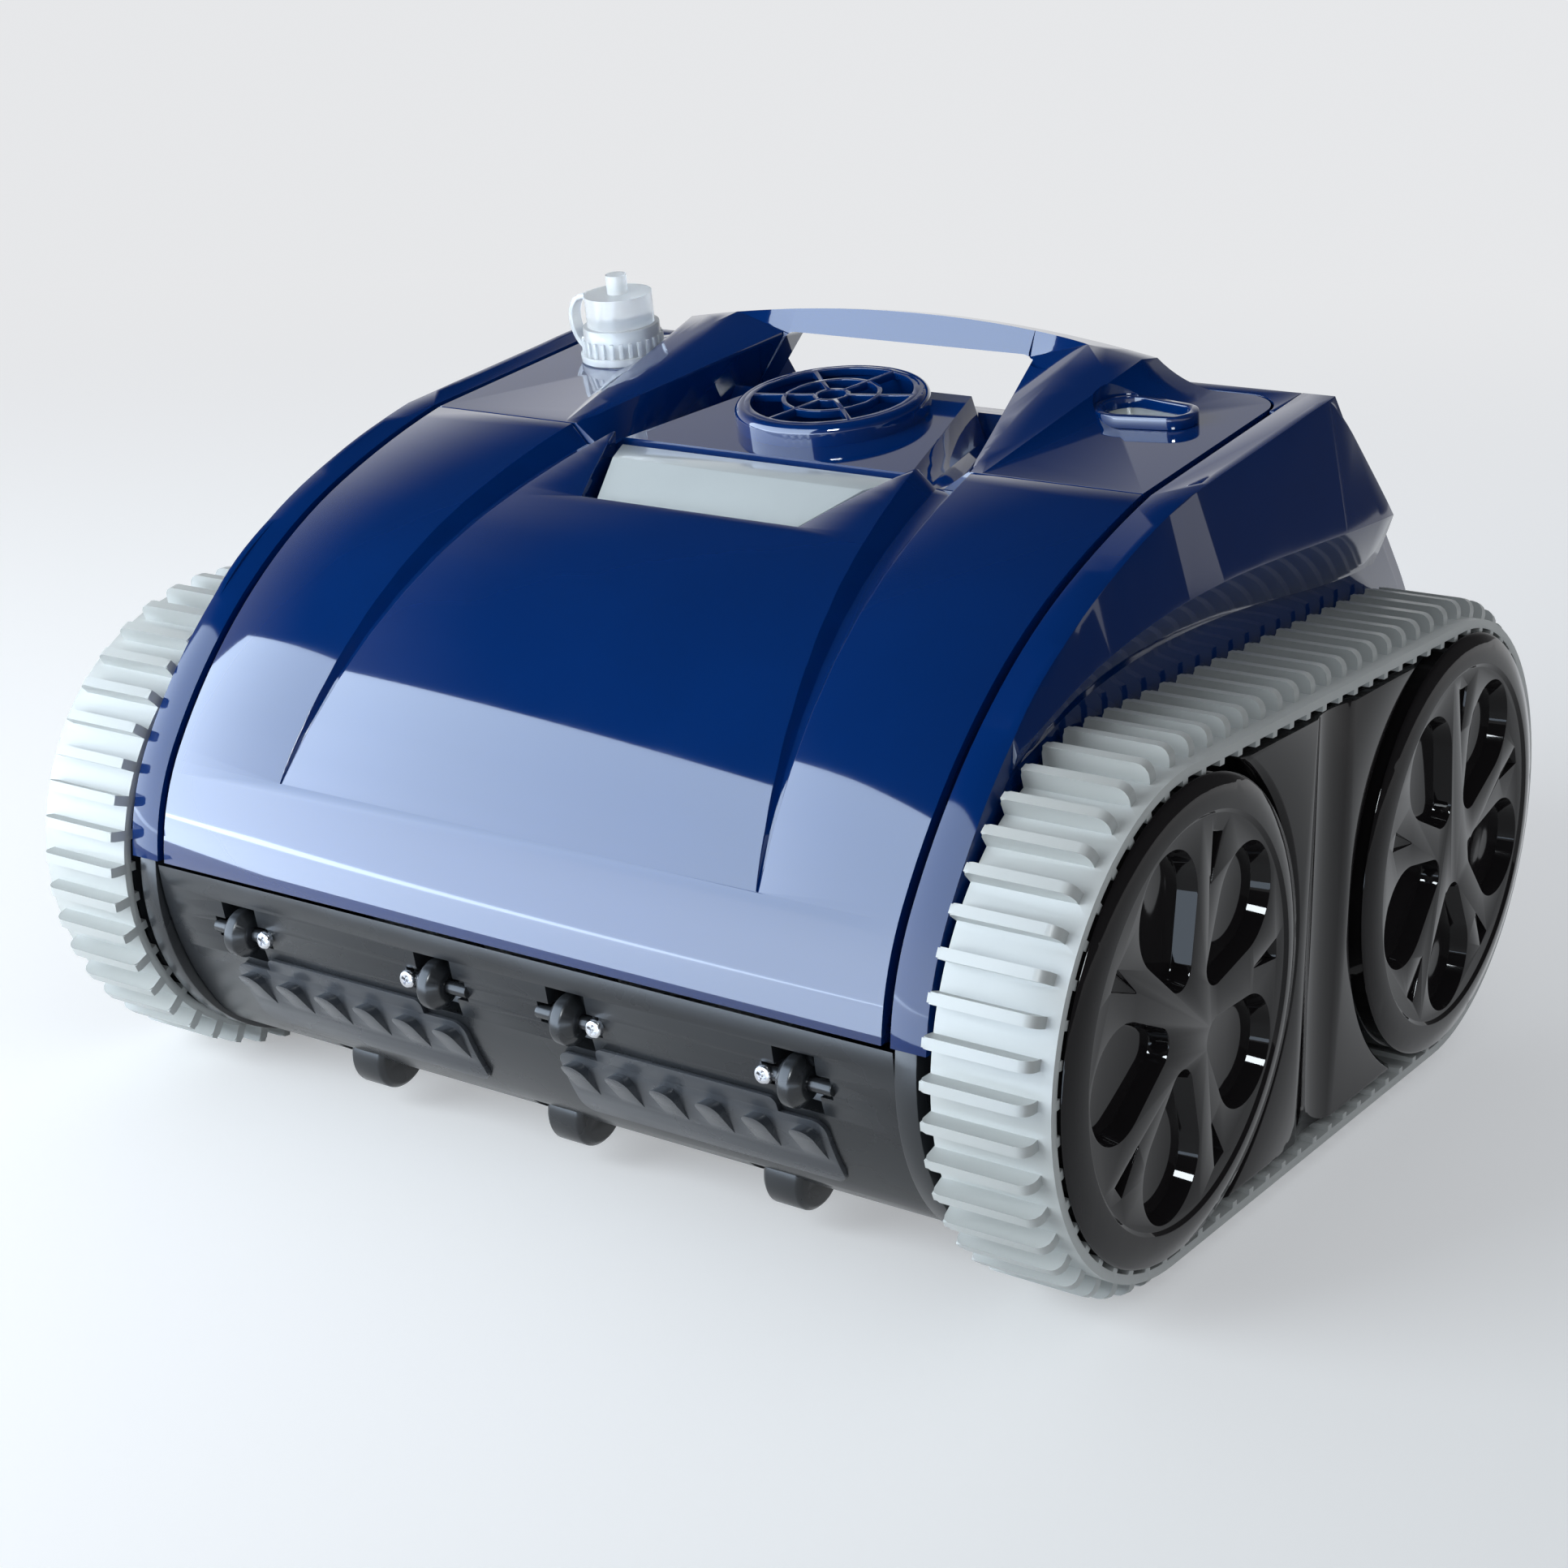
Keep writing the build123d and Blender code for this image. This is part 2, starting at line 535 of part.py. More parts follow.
with BuildPart() as lower_housing:
    add(housing_solid)
    with BuildSketch(Plane.YZ.offset(HOUSING_WALL - HOUSING_HALF_WIDTH)):
        add(housing_inner)
    extrude(amount=2 * (HOUSING_HALF_WIDTH - HOUSING_WALL), dir=(1, 0, 0), mode=Mode.SUBTRACT)
    with Locations((0, 0, WAIST_Z - HOUSING_WALL - 1)):
        Box(2 * (HOUSING_HALF_WIDTH - HOUSING_WALL), 2 * (abs(FRONT_Y) - HOUSING_WALL), BIG,
            align=(Align.CENTER, Align.CENTER, Align.MIN), mode=Mode.SUBTRACT)
    with Locations((0, 0, WAIST_Z - WAIST_GAP)):
        Box(BIG, BIG, BIG, align=(Align.CENTER, Align.CENTER, Align.MIN), mode=Mode.SUBTRACT)
    for x in ROLLERS:
        add(Pos(x, 0, 0) * (roller_well & Pos(-x, 0, 0) * housing_solid))
    add(upper_sweep, mode=Mode.SUBTRACT)
    for x in ROLLERS:
        add(Pos(x, 0, 0) * roller_window, mode=Mode.SUBTRACT)
        add(Pos(x, 0, 0) * pin_slot.part, mode=Mode.SUBTRACT)
        add(roller_pin(x), mode=Mode.SUBTRACT)
    for side in (-1, 0, 1):
        add(plank(side * CASTER_X - CASTER_WIDTH / 2 - 5, side * CASTER_X + CASTER_WIDTH / 2 + 5,
                  CASTER_Y - CASTER_RADIUS - 5, CASTER_Y + CASTER_RADIUS + 5, 0, POCKET_TOP_Z + 2) & housing_solid)
        with Locations((side * CASTER_X, CASTER_Y, 0)):
            Box(CASTER_WIDTH + 5, 2 * CASTER_RADIUS + 6, POCKET_TOP_Z, mode=Mode.SUBTRACT,
                align=(Align.CENTER, Align.CENTER, Align.MIN))
    add(intake_duct)
    add([cradle, mirror(cradle, about=Plane.YZ)])
    for y in (FRONT_AXLE_Y, REAR_AXLE_Y):
        add(rod(-BIG / 2, BIG / 2, y, AXLE_Z, AXLE_RADIUS + 2.0), mode=Mode.SUBTRACT)
    with Locations((0, INTAKE_Y, FLOOR_Z)):
        Box(2 * INTAKE_HALF_WIDTH, 2 * INTAKE_HALF_DEPTH, BIG / 4, mode=Mode.SUBTRACT)
    add([arm, arm_foot, mirror(arm, about=Plane.YZ), mirror(arm_foot, about=Plane.YZ)])
    add(rod(-BIG, BIG, LID_AXIS_Y, LID_AXIS_Z, HINGE_PIN_RADIUS), mode=Mode.SUBTRACT)
    for side in (-1, 0, 1):
        add(rod(side * CASTER_X - CASTER_PIN, side * CASTER_X + CASTER_PIN, CASTER_Y, CASTER_Z, ROLLER_PIN_RADIUS),
            mode=Mode.SUBTRACT)
write(lower_housing, "lower_housing")

with BuildPart() as lid_hinge_pins:
    with BuildSketch(Plane.YZ.offset(LUG_INNER - 2)):
        with Locations((LID_AXIS_Y, LID_AXIS_Z)):
            Circle(HINGE_PIN_RADIUS)
    extrude(amount=LUG_WIDTH + ARM_WIDTH + 4)
    mirror(about=Plane.YZ)
write(lid_hinge_pins, "lid_hinge_pins")

# ---------------------------------------------------------------- top cover

COVER_REAR_Y = RIDGE_Y - 8.0
COVER_SLOPE = (RIDGE_Z - SEAM_Z) / (RIDGE_Y - SEAM_Y)
BAR_FRONT_Y = HANDLE_CREST_Y - 8.0
BAY_FLOOR_Z = CHANNEL_Z + 4.2        # the bay's floor below the handle
TRAY = 2.5                           # wall of the bay
DECK_DEPTH = FLANGE + SEAL_HEIGHT
RAIL_PLATEAU = 97.0                  # outer edge of the rail's top at the seam
RAIL_FOOT = 26.0                     # its outer slope, at the handle
BEVEL_OUTER = 85.0                   # outer edge of the bevel round the finger opening
GRIP_CORNER = 6.0
COVER_CORNER = 16.0


def across(half, y):
    """A closed outline across the machine at y, given by its right half."""
    with BuildSketch(Plane.XZ.offset(-y)) as sketch:
        Polygon(*half, *[(-x, z) for x, z in reversed(half)], align=None)
    return sketch.sketch


def rail(y, plateau, foot, ground, top, crest):
    """The cover's raised middle at y: a low arch with hollow slopes outside its rails."""
    dip = (plateau + foot * 0.52, top - (top - ground) * 0.72)
    with BuildSketch(Plane.XZ.offset(-y)) as sketch:
        with BuildLine():
            right = ThreePointArc((plateau + foot, ground), dip, (plateau, top))
            ThreePointArc((plateau, top), (0, crest), (-plateau, top))
            left = ThreePointArc((-plateau, top), (-dip[0], dip[1]), (-plateau - foot, ground))
            Polyline(left @ 1, (-plateau - foot, 235.0), (plateau + foot, 235.0), right @ 0)
        make_face()
    return sketch.sketch


def between(stations):
    """A solid ruled through outlines across the machine, given as (y, right half)."""
    with BuildPart() as piece:
        for y, half in stations:
            add(across(half, y))
        loft(ruled=True)
    return piece.part


def shoulder(x, y, lift=0.0):
    """A working plane lying on the top cover's surface."""
    z = SEAM_Z + COVER_SLOPE * (y - SEAM_Y)
    return Plane(origin=(x, y, z), x_dir=(1, 0, 0), z_dir=(0, -COVER_SLOPE, 1)).offset(lift)


def open_bay(grow):
    """The hollow between the rails, from the seam to the bar."""
    return between([
        (SEAM_Y - 1, [(CHANNEL_OUTER + grow, CHANNEL_Z - grow), (RAIL_INNER + 1.3 * grow, SEAM_Z),
                      (RAIL_INNER + 1.3 * grow, BIG)]),
        (HANDLE_CREST_Y, [(GRIP_FLOOR_HALF + grow, BAY_FLOOR_Z - grow), (GRIP_HALF_WIDTH + grow, HANDLE_UNDER_Z),
                          (GRIP_HALF_WIDTH + grow, BIG)])])


def tunnel(grow, y_from, y_to, top_z=HANDLE_UNDER_Z):
    """The finger space below the bar."""
    foot, head = (GRIP_FLOOR_HALF + grow, BAY_FLOOR_Z - grow), (GRIP_HALF_WIDTH + grow, top_z)
    with BuildPart() as piece:
        with BuildSketch(Plane.XZ.offset(-y_from)) as view:
            Polygon(foot, head, (-head[0], head[1]), (-foot[0], foot[1]), align=None)
            fillet(view.vertices().sort_by(Axis.Y)[-2:], GRIP_CORNER)
        extrude(amount=y_from - y_to)
    return piece.part


with BuildPart() as raised:
    add(rail(COVER_FRONT_Y, RAIL_PLATEAU, 2.0, SEAM_Z - 0.1, SEAM_Z, SEAM_Z + 0.3))
    add(rail(BAR_FRONT_Y, HANDLE_HALF_WIDTH, RAIL_FOOT, RIDGE_Z - 3.5, HANDLE_SHOULDER_Z - 0.5, HANDLE_CREST_Z))
    add(rail(COVER_REAR_Y, HANDLE_HALF_WIDTH, RAIL_FOOT, RIDGE_Z - 1.4, HANDLE_SHOULDER_Z - 1.5, HANDLE_CREST_Z - 1))
    loft(ruled=True)

with BuildPart() as rail_bevel:
    for y, inner, low, outer, high in (
            (SEAM_Y, RAIL_INNER - 0.4, SEAM_Z - 0.4, RAIL_INNER + 0.2, SEAM_Z + 0.1),
            (BAR_FRONT_Y + 0.5, GRIP_HALF_WIDTH - 0.5, HANDLE_UNDER_Z - 1.0, BEVEL_OUTER, HANDLE_SHOULDER_Z + 3.6),
            (HANDLE_CREST_Y - 1.5, GRIP_HALF_WIDTH - 0.5, HANDLE_CREST_Z, BEVEL_OUTER, HANDLE_CREST_Z + 0.2)):
        with BuildSketch(Plane.XZ.offset(-y)):
            Polygon((inner, low), (outer, high), (outer, BIG), (inner, BIG), align=None)
    loft(ruled=True)
    mirror(about=Plane.YZ)

with BuildPart() as bar_keep:
    with BuildSketch(Plane.YZ.offset(-BIG / 2)):
        Polygon((BAR_FRONT_Y, 0), (BAR_FRONT_Y, HANDLE_UNDER_Z), (HANDLE_CREST_Y - 2, HANDLE_CREST_Z - 1),
                (HANDLE_CREST_Y - 2, 2 * BIG), (BIG, 2 * BIG), (BIG, 0), align=None)
    extrude(amount=BIG, dir=(1, 0, 0))



def cover_plan(shrink):
    """The top cover's outline seen from above, with round rear corners, as a tall block."""
    with BuildPart() as piece:
        with BuildSketch():
            with Locations((0, COVER_REAR_Y - shrink)):
                view = Rectangle(2 * (LID_HALF_WIDTH - shrink), BIG, align=(Align.CENTER, Align.MAX))
            fillet(view.vertices().sort_by(Axis.Y)[-2:], COVER_CORNER - shrink)
        extrude(amount=BIG)
    return piece.part


cover_full = side_slab(0.0, -LID_HALF_WIDTH, LID_HALF_WIDTH, COVER_FRONT_Y, COVER_REAR_Y) + raised.part
cover_full = cover_full & cover_plan(0.0)
cover_core = side_slab(DECK_DEPTH, -BIG / 2, BIG / 2, z_from=0)
cover_hollow = side_slab(SKIN, SKIN - LID_HALF_WIDTH, LID_HALF_WIDTH - SKIN, COVER_FRONT_Y + SKIN,
                         COVER_REAR_Y - SKIN, z_from=0) & cover_plan(SKIN)
bay_cut = (open_bay(0.0) - bar_keep.part) + tunnel(0.0, BAR_FRONT_Y - 4, COVER_REAR_Y + 1)
bay_tray = (open_bay(TRAY) + tunnel(TRAY, BAR_FRONT_Y - 4, COVER_REAR_Y)) & cover_full

BLOCK_FLARE = CHANNEL_INNER - BLOCK_HALF_WIDTH


def block(shrink, drop):
    """The raised block round the outlet."""
    rear_z = BLOCK_Z + BLOCK_SLOPE * (BLOCK_REAR_Y - SEAM_Y)
    return between([
        (COVER_FRONT_Y + shrink, [(CHANNEL_INNER - shrink, CHANNEL_Z - 0.5 - 20 * bool(shrink)),
                                  (BLOCK_HALF_WIDTH - shrink, BLOCK_Z - drop)]),
        (BLOCK_REAR_Y - shrink, [(BLOCK_REAR_HALF + BLOCK_FLARE - shrink, CHANNEL_Z - 0.5 - 20 * bool(shrink)),
                                 (BLOCK_REAR_HALF - shrink, rear_z - drop)])])


OUTLET_Z = BLOCK_Z + BLOCK_SLOPE * (OUTLET_Y - SEAM_Y)
outlet_plane = Plane(origin=(0, OUTLET_Y, OUTLET_Z), x_dir=(1, 0, 0), z_dir=(0, -BLOCK_SLOPE, 1))
DUCT_DEPTH = 26.0
DUCT_WALL = 3.0
GRILLE_SEAT = OUTLET_RISE - 3.0
SEAT_RADIUS = OUTLET_RADIUS - 4.0
COLLAR_ROUND = 3.2

with BuildPart() as outlet_collar:
    with BuildSketch(outlet_plane.offset(-DUCT_DEPTH)):
        Circle(OUTLET_BORE + DUCT_WALL)
    extrude(amount=DUCT_DEPTH)
    with BuildSketch(outlet_plane.offset(-4)):
        Circle(OUTLET_RADIUS)
    extrude(amount=4 + OUTLET_RISE)
    fillet(outlet_collar.edges().group_by(Axis(outlet_plane.origin, outlet_plane.z_dir))[-1], COLLAR_ROUND)

with BuildPart() as outlet_bore:
    with BuildSketch(outlet_plane.offset(-DUCT_DEPTH - 1)):
        Circle(OUTLET_BORE)
    extrude(amount=DUCT_DEPTH + OUTLET_RISE + 2)
    with BuildSketch(outlet_plane.offset(GRILLE_SEAT)):
        Circle(SEAT_RADIUS)
    extrude(amount=OUTLET_RISE)

SWITCH_WALL = 3.4
SWITCH_STEM = 5.0
SWITCH_RISE = 5.0
TETHER_WALL = 2.0
switch_plane = shoulder(SWITCH_X, SWITCH_Y)
port_plane = shoulder(PORT_X, PORT_Y)


def egg(shrink, from_lift, height):
    """An egg-shaped post standing on the shoulder, narrow to the outside."""
    with BuildPart() as piece:
        with BuildSketch(switch_plane.offset(from_lift)):
            with Locations((SWITCH_SHORT - SWITCH_LONG, 0)):
                Circle(SWITCH_SHORT - shrink)
            with Locations((SWITCH_LONG - SWITCH_TIP, 0)):
                Circle(SWITCH_TIP - shrink)
            make_hull()
        extrude(amount=height)
    return piece.part


def post(plane, radius, from_lift, height):
    """A round post standing on the shoulder."""
    with BuildPart() as piece:
        with BuildSketch(plane.offset(from_lift)):
            Circle(radius)
        extrude(amount=height)
    return piece.part


with BuildPart() as top_cover:
    add(cover_full)
    add([cover_core, cover_hollow], mode=Mode.SUBTRACT)
    add(bay_tray)
    add([bay_cut, rail_bevel.part], mode=Mode.SUBTRACT)
    add(block(0.0, 0.0))
    add(block(SKIN, SKIN), mode=Mode.SUBTRACT)
    add(outlet_collar.part)
    add(outlet_bore.part, mode=Mode.SUBTRACT)
    for side in (-1, 1):
        with Locations((side * (BLOCK_REAR_HALF + GRIP_FLOOR_HALF + 4) / 2, BLOCK_REAR_Y + 4, BAY_FLOOR_Z - 1)):
            Box(GRIP_FLOOR_HALF - BLOCK_REAR_HALF + 1, 2.5, 10, align=(Align.CENTER, Align.CENTER, Align.MIN))
    add(egg(1.5, -30, 60), mode=Mode.SUBTRACT)
    add(egg(0.0, 0, 30), mode=Mode.SUBTRACT)
    add(post(port_plane, PORT_RADIUS - 2.0, -30, 60), mode=Mode.SUBTRACT)
    add(post(port_plane, PORT_RADIUS + TETHER_WALL, 0, 30), mode=Mode.SUBTRACT)
write(top_cover, "top_cover")

grille_plane = outlet_plane.offset(GRILLE_SEAT)
with BuildPart() as outlet_grille:
    with BuildSketch(grille_plane):
        Circle(SEAT_RADIUS)
        Circle(OUTLET_BORE - 1.0, mode=Mode.SUBTRACT)
        for radius in (GRILLE_RING, GRILLE_HUB):
            Circle(radius)
            Circle(radius - GRILLE_RIB, mode=Mode.SUBTRACT)
        with PolarLocations((GRILLE_HUB + OUTLET_BORE) / 2 - 0.5, GRILLE_SPOKES, start_angle=15):
            Rectangle(OUTLET_BORE - GRILLE_HUB + 1.0, GRILLE_RIB)
    extrude(amount=OUTLET_RISE - GRILLE_SEAT)
write(outlet_grille, "outlet_grille")

# ---------------------------------------------------------------- deck and rear panel

DECK_POST = RAIL_INNER + 12.0

with BuildPart() as deck:
    add(slab(DECK_DEPTH, DECK_DEPTH + SKIN, -HOUSING_HALF_WIDTH, HOUSING_HALF_WIDTH, SEAM_Y - 14, COVER_REAR_Y))
    with Locations((0, SEAM_Y, 0)):
        Box(2 * (RAIL_INNER + 8), COVER_REAR_Y - SEAM_Y + 1, BIG, mode=Mode.SUBTRACT,
            align=(Align.CENTER, Align.MIN, Align.CENTER))
    add(plan_prism(latch_plan(-POCKET_WALL - 1.0, SEAM_Y + 1), 0, BIG), mode=Mode.SUBTRACT)
    add(plank(-DECK_POST, DECK_POST, COVER_REAR_Y - 18, COVER_REAR_Y - 4, BAY_FLOOR_Z - 14, BAY_FLOOR_Z - 6))
    for side in (-1, 1):
        add(plank(side * DECK_POST - 4, side * DECK_POST + 4, COVER_REAR_Y - 18, COVER_REAR_Y - 4,
                  BAY_FLOOR_Z - 14, RIDGE_Z - DECK_DEPTH - SKIN))
write(deck, "deck")

PANEL_FRONT_Y = COVER_REAR_Y + 1.2
PANEL_HALF_WIDTH = LID_HALF_WIDTH + LID_GAP - FACE
LOUVRE_COUNT = 5
LOUVRE_PITCH = 9.0
rear_full = side_slab(0.0, -PANEL_HALF_WIDTH, PANEL_HALF_WIDTH, COVER_REAR_Y - COVER_CORNER) - cover_plan(
    COVER_REAR_Y - PANEL_FRONT_Y)
rear_hollow = side_slab(SKIN, -BIG / 2, BIG / 2, z_from=0)
rear_bay = tunnel(0.0, COVER_REAR_Y, BIG / 4, BIG)

with BuildPart() as rear_panel:
    add(rear_full)
    add(rear_hollow, mode=Mode.SUBTRACT)
    add(tunnel(TRAY, PANEL_FRONT_Y, BIG / 4, BIG) & rear_full)
    add(rear_bay, mode=Mode.SUBTRACT)
    for row in range(LOUVRE_COUNT):
        with Locations((0, REAR_KNEE_Y + 30, WAIST_Z + 28 + row * LOUVRE_PITCH)):
            Box(150, 90, 3.6, mode=Mode.SUBTRACT)
write(rear_panel, "rear_panel")

# ---------------------------------------------------------------- side frames

FRAME_INSET = 3.6
LEDGE_REACH = 9.0


shell_shape = side_slab(FRAME_INSET, FRAME_INNER, FRAME_SEAT)
lid_ledge = slab(FLANGE + FACE, FLANGE + FACE + 2.5, FRAME_INNER - LEDGE_REACH, FRAME_INNER + 1, y_to=SEAM_Y - 16,
                 z_from=WAIST_Z + 34)

with BuildPart() as left_side_frame:
    add(upright(stadium(HOUSING_RADIUS), FRAME_INNER, FRAME_SEAT))
    with Locations((0, 0, WAIST_Z + WAIST_GAP)):
        Box(BIG, BIG, BIG, mode=Mode.SUBTRACT, align=(Align.CENTER, Align.CENTER, Align.MIN))
    add(shell_shape)
    add(lid_ledge)
    for y in (FRONT_AXLE_Y, REAR_AXLE_Y):
        add(rod(FRAME_SEAT - 1, TRACK_INNER - 2.5, y, AXLE_Z, BEARING_RADIUS + 6))
        add(rod(0, BIG, y, AXLE_Z, BEARING_RADIUS), mode=Mode.SUBTRACT)
write(left_side_frame, "left_side_frame")
mirrored(left_side_frame, "right_side_frame")

# ---------------------------------------------------------------- fairings over the tracks

STRIP_INNER = LID_HALF_WIDTH + LID_GAP
SIDE_WALL = 3.0
CREASE_OUT = 15.0
CREASE_Z = 226.0         # where the crease levels out
CREASE_RISE = 35.0       # from its front tip
LIP_OUT = 4.0
LIP_DROP = 20.0
FLARE_FRONT_Y = -152.0
FLARE_LEVEL_Y = 40.0
FLARE_REAR_Y = 145.0
FLARE_STATIONS = 10


def surface_z(y):
    """Height of the shell's outline at a place along the machine."""
    column = Edge.make_line((y, WAIST_Z), (y, BIG)) & inset(0.0).faces()[0]
    return column.vertices().sort_by(Axis.Y)[-1].Y


def flare_section(y):
    """Section across the wheel arch's flare: it slopes out and down from the strip to its crease."""
    share = min((y - FLARE_FRONT_Y) / (FLARE_LEVEL_Y - FLARE_FRONT_Y), 1.0)
    top = surface_z(min(y, RIDGE_Y)) - 0.05
    crease_z = CREASE_Z - CREASE_RISE * (1 - share) ** 3
    swell = (top - crease_z) / (RIDGE_Z - CREASE_Z)
    crease, lip = STRIP_OUTER + CREASE_OUT * swell, STRIP_OUTER + LIP_OUT * swell
    lip_z = crease_z - 3.0 - LIP_DROP * swell
    return [(STRIP_OUTER - SIDE_WALL, top), (STRIP_OUTER, top), (crease, crease_z), (lip, lip_z),
            (lip - SIDE_WALL, lip_z + 1.0), (crease - SIDE_WALL, crease_z), (STRIP_OUTER - SIDE_WALL, top - 3.0)]


with BuildPart() as flare:
    for station in range(FLARE_STATIONS):
        y = FLARE_FRONT_Y + (FLARE_REAR_Y - FLARE_FRONT_Y) * station / (FLARE_STATIONS - 1)
        with BuildSketch(Plane.XZ.offset(-y)):
            Polygon(*flare_section(y), align=None)
    loft()

with BuildPart() as rear_trim:
    with BuildSketch(Plane.YZ.offset(STRIP_OUTER - SIDE_WALL - 1)):
        with BuildLine():
            brink = Spline((RIDGE_Y - 12, 277), (RIDGE_Y + 14, 250), (RIDGE_Y + 34, 214), (RIDGE_Y + 44, 150),
                           tangents=[(1, -0.35), (0.12, -1)])
            Polyline(brink @ 1, (BIG, 150), (BIG, BIG), (RIDGE_Y - 12, BIG), brink @ 0)
        make_face()
    extrude(amount=BIG / 10, dir=(1, 0, 0))

strip = slab(0.0, SKIN, STRIP_INNER, STRIP_OUTER)
cheek = side_slab(0.0, STRIP_OUTER - SIDE_WALL, STRIP_OUTER)

with BuildPart() as left_fairing:
    add(flare.part)
    add(rear_trim.part, mode=Mode.SUBTRACT)
    add(cheek)
    add(upright(stadium(HOUSING_RADIUS - 7), STRIP_OUTER - SIDE_WALL - 1, BIG), mode=Mode.SUBTRACT)
    add(strip)
write(left_fairing, "left_fairing")
mirrored(left_fairing, "right_fairing")

# ---------------------------------------------------------------- tracks


def track_places(per_end, per_run):
    """Places round the track as (y of the centre they are struck from, outward angle)."""
    places = []
    for turn in range(per_end):
        angle = 180.0 * (turn + 0.5) / per_end
        places += [(REAR_AXLE_Y, angle - 90.0), (FRONT_AXLE_Y, angle + 90.0)]
    for step in range(per_run):
        y = FRONT_AXLE_Y + WHEEL_BASE * (step + 0.5) / per_run
        places += [(y, 90.0), (y, -90.0)]
    return places


def teeth_round_track(r_from, r_to, thickness):
    """Bars standing across the track's path, as a flat side view."""
    middle = (r_from + r_to) / 2
    with BuildSketch() as sketch:
        for y, angle in track_places(FINS_PER_END, FINS_PER_RUN):
            with Locations(Location((y + middle * cos(radians(angle)), AXLE_Z + middle * sin(radians(angle)), 0),
                                    (0, 0, angle))):
                Rectangle(r_to - r_from, thickness)
    return sketch.sketch


with BuildPart() as fin_envelope:
    with BuildSketch(Plane.YZ.offset(TRACK_INNER)):
        add(stadium(FIN_TIP_RADIUS))
    extrude(amount=BELT_WIDTH - FIN_SETBACK)
    chamfer(fin_envelope.faces().sort_by(Axis.X)[-1].edges(), FIN_CORNER - 2.5)

fins = upright(teeth_round_track(BELT_RADIUS - 1, FIN_TIP_RADIUS + 2, FIN_THICKNESS), TRACK_INNER,
               TRACK_OUTER - FIN_SETBACK) & fin_envelope.part
drive_ribs = upright(teeth_round_track(RIB_TIP, BELT_RADIUS - 1, RIB_WIDTH), TRACK_INNER, TRACK_OUTER)

with BuildPart() as left_belt:
    with BuildSketch(Plane.YZ.offset(TRACK_INNER)):
        add(stadium(BELT_RADIUS))
        add(stadium(BAND_INSIDE), mode=Mode.SUBTRACT)
    extrude(amount=BELT_WIDTH)
    add(drive_ribs)
    add(fins)
write(left_belt, "left_belt")
mirrored(left_belt, "right_belt")

# ---------------------------------------------------------------- wheels and their caps

DRUM_INNER = TRACK_INNER + 2.0
DRUM_OUTER = TRACK_OUTER - 6.5
HUB_INNER = FRAME_SEAT + 7.5


def spun(points, y):
    """A piece turned about a wheel's axle, from (x, radius) points."""
    with BuildPart() as piece:
        with BuildSketch(Plane.XY):
            Polygon(*points, align=None)
        revolve(axis=Axis.X)
    return Pos(0, y, AXLE_Z) * piece.part


def drum(y, bore):
    """A drive wheel's drum with its web and hub."""
    web = (DRUM_INNER + DRUM_OUTER - DRUM_WEB) / 2
    rim = DRUM_RADIUS - DRUM_RIM
    return spun([(HUB_INNER, bore), (HUB_INNER, HUB_RADIUS), (web, HUB_RADIUS), (web, rim), (DRUM_INNER, rim),
                 (DRUM_INNER, DRUM_RADIUS), (DRUM_OUTER, DRUM_RADIUS), (DRUM_OUTER, rim), (web + DRUM_WEB, rim),
                 (web + DRUM_WEB, bore)], y)


CAP_FACE = TRACK_OUTER + CAP_PROUD
CAP_BACK = DRUM_OUTER
CAP_NECK = BAND_INSIDE - RIB_HEIGHT - 0.8
CAP_HOLLOW = CAP_NECK - 4.0


def petal(x, grow, amount, taper):
    """One scoop, cut into the cap from x, for a cap centred on the origin."""
    with BuildPart() as piece:
        with BuildSketch(Plane.YZ.offset(x)):
            with Locations((PETAL_TIP_AT, 0)):
                Circle(PETAL_TIP_RADIUS + grow)
            with Locations((PETAL_ROOT_AT, 0)):
                Circle(PETAL_ROOT_RADIUS + grow)
            make_hull()
        extrude(amount=amount, taper=taper)
    return piece.part


def notch():
    """One small scoop between two petals, deepest at its outer end."""
    with BuildPart() as piece:
        with BuildSketch(Plane.XY):
            top, near, far = CAP_FACE + 1.0, NOTCH_AT - NOTCH_LENGTH / 2, NOTCH_AT + NOTCH_LENGTH / 2
            Polygon((CAP_FACE - CAP_DISH, near), (top, near), (top, far),
                    (CAP_FACE - CAP_DISH - NOTCH_DEPTH, far - 2), align=None)
        extrude(amount=NOTCH_WIDTH / 2, both=True)
        with BuildSketch(Plane.YZ):
            Polygon((NOTCH_AT - NOTCH_LENGTH / 2, 0), (NOTCH_AT + NOTCH_LENGTH / 2, NOTCH_WIDTH / 2),
                    (NOTCH_AT + NOTCH_LENGTH / 2, -NOTCH_WIDTH / 2), align=None)
        extrude(amount=BIG, mode=Mode.INTERSECT)
    return piece.part


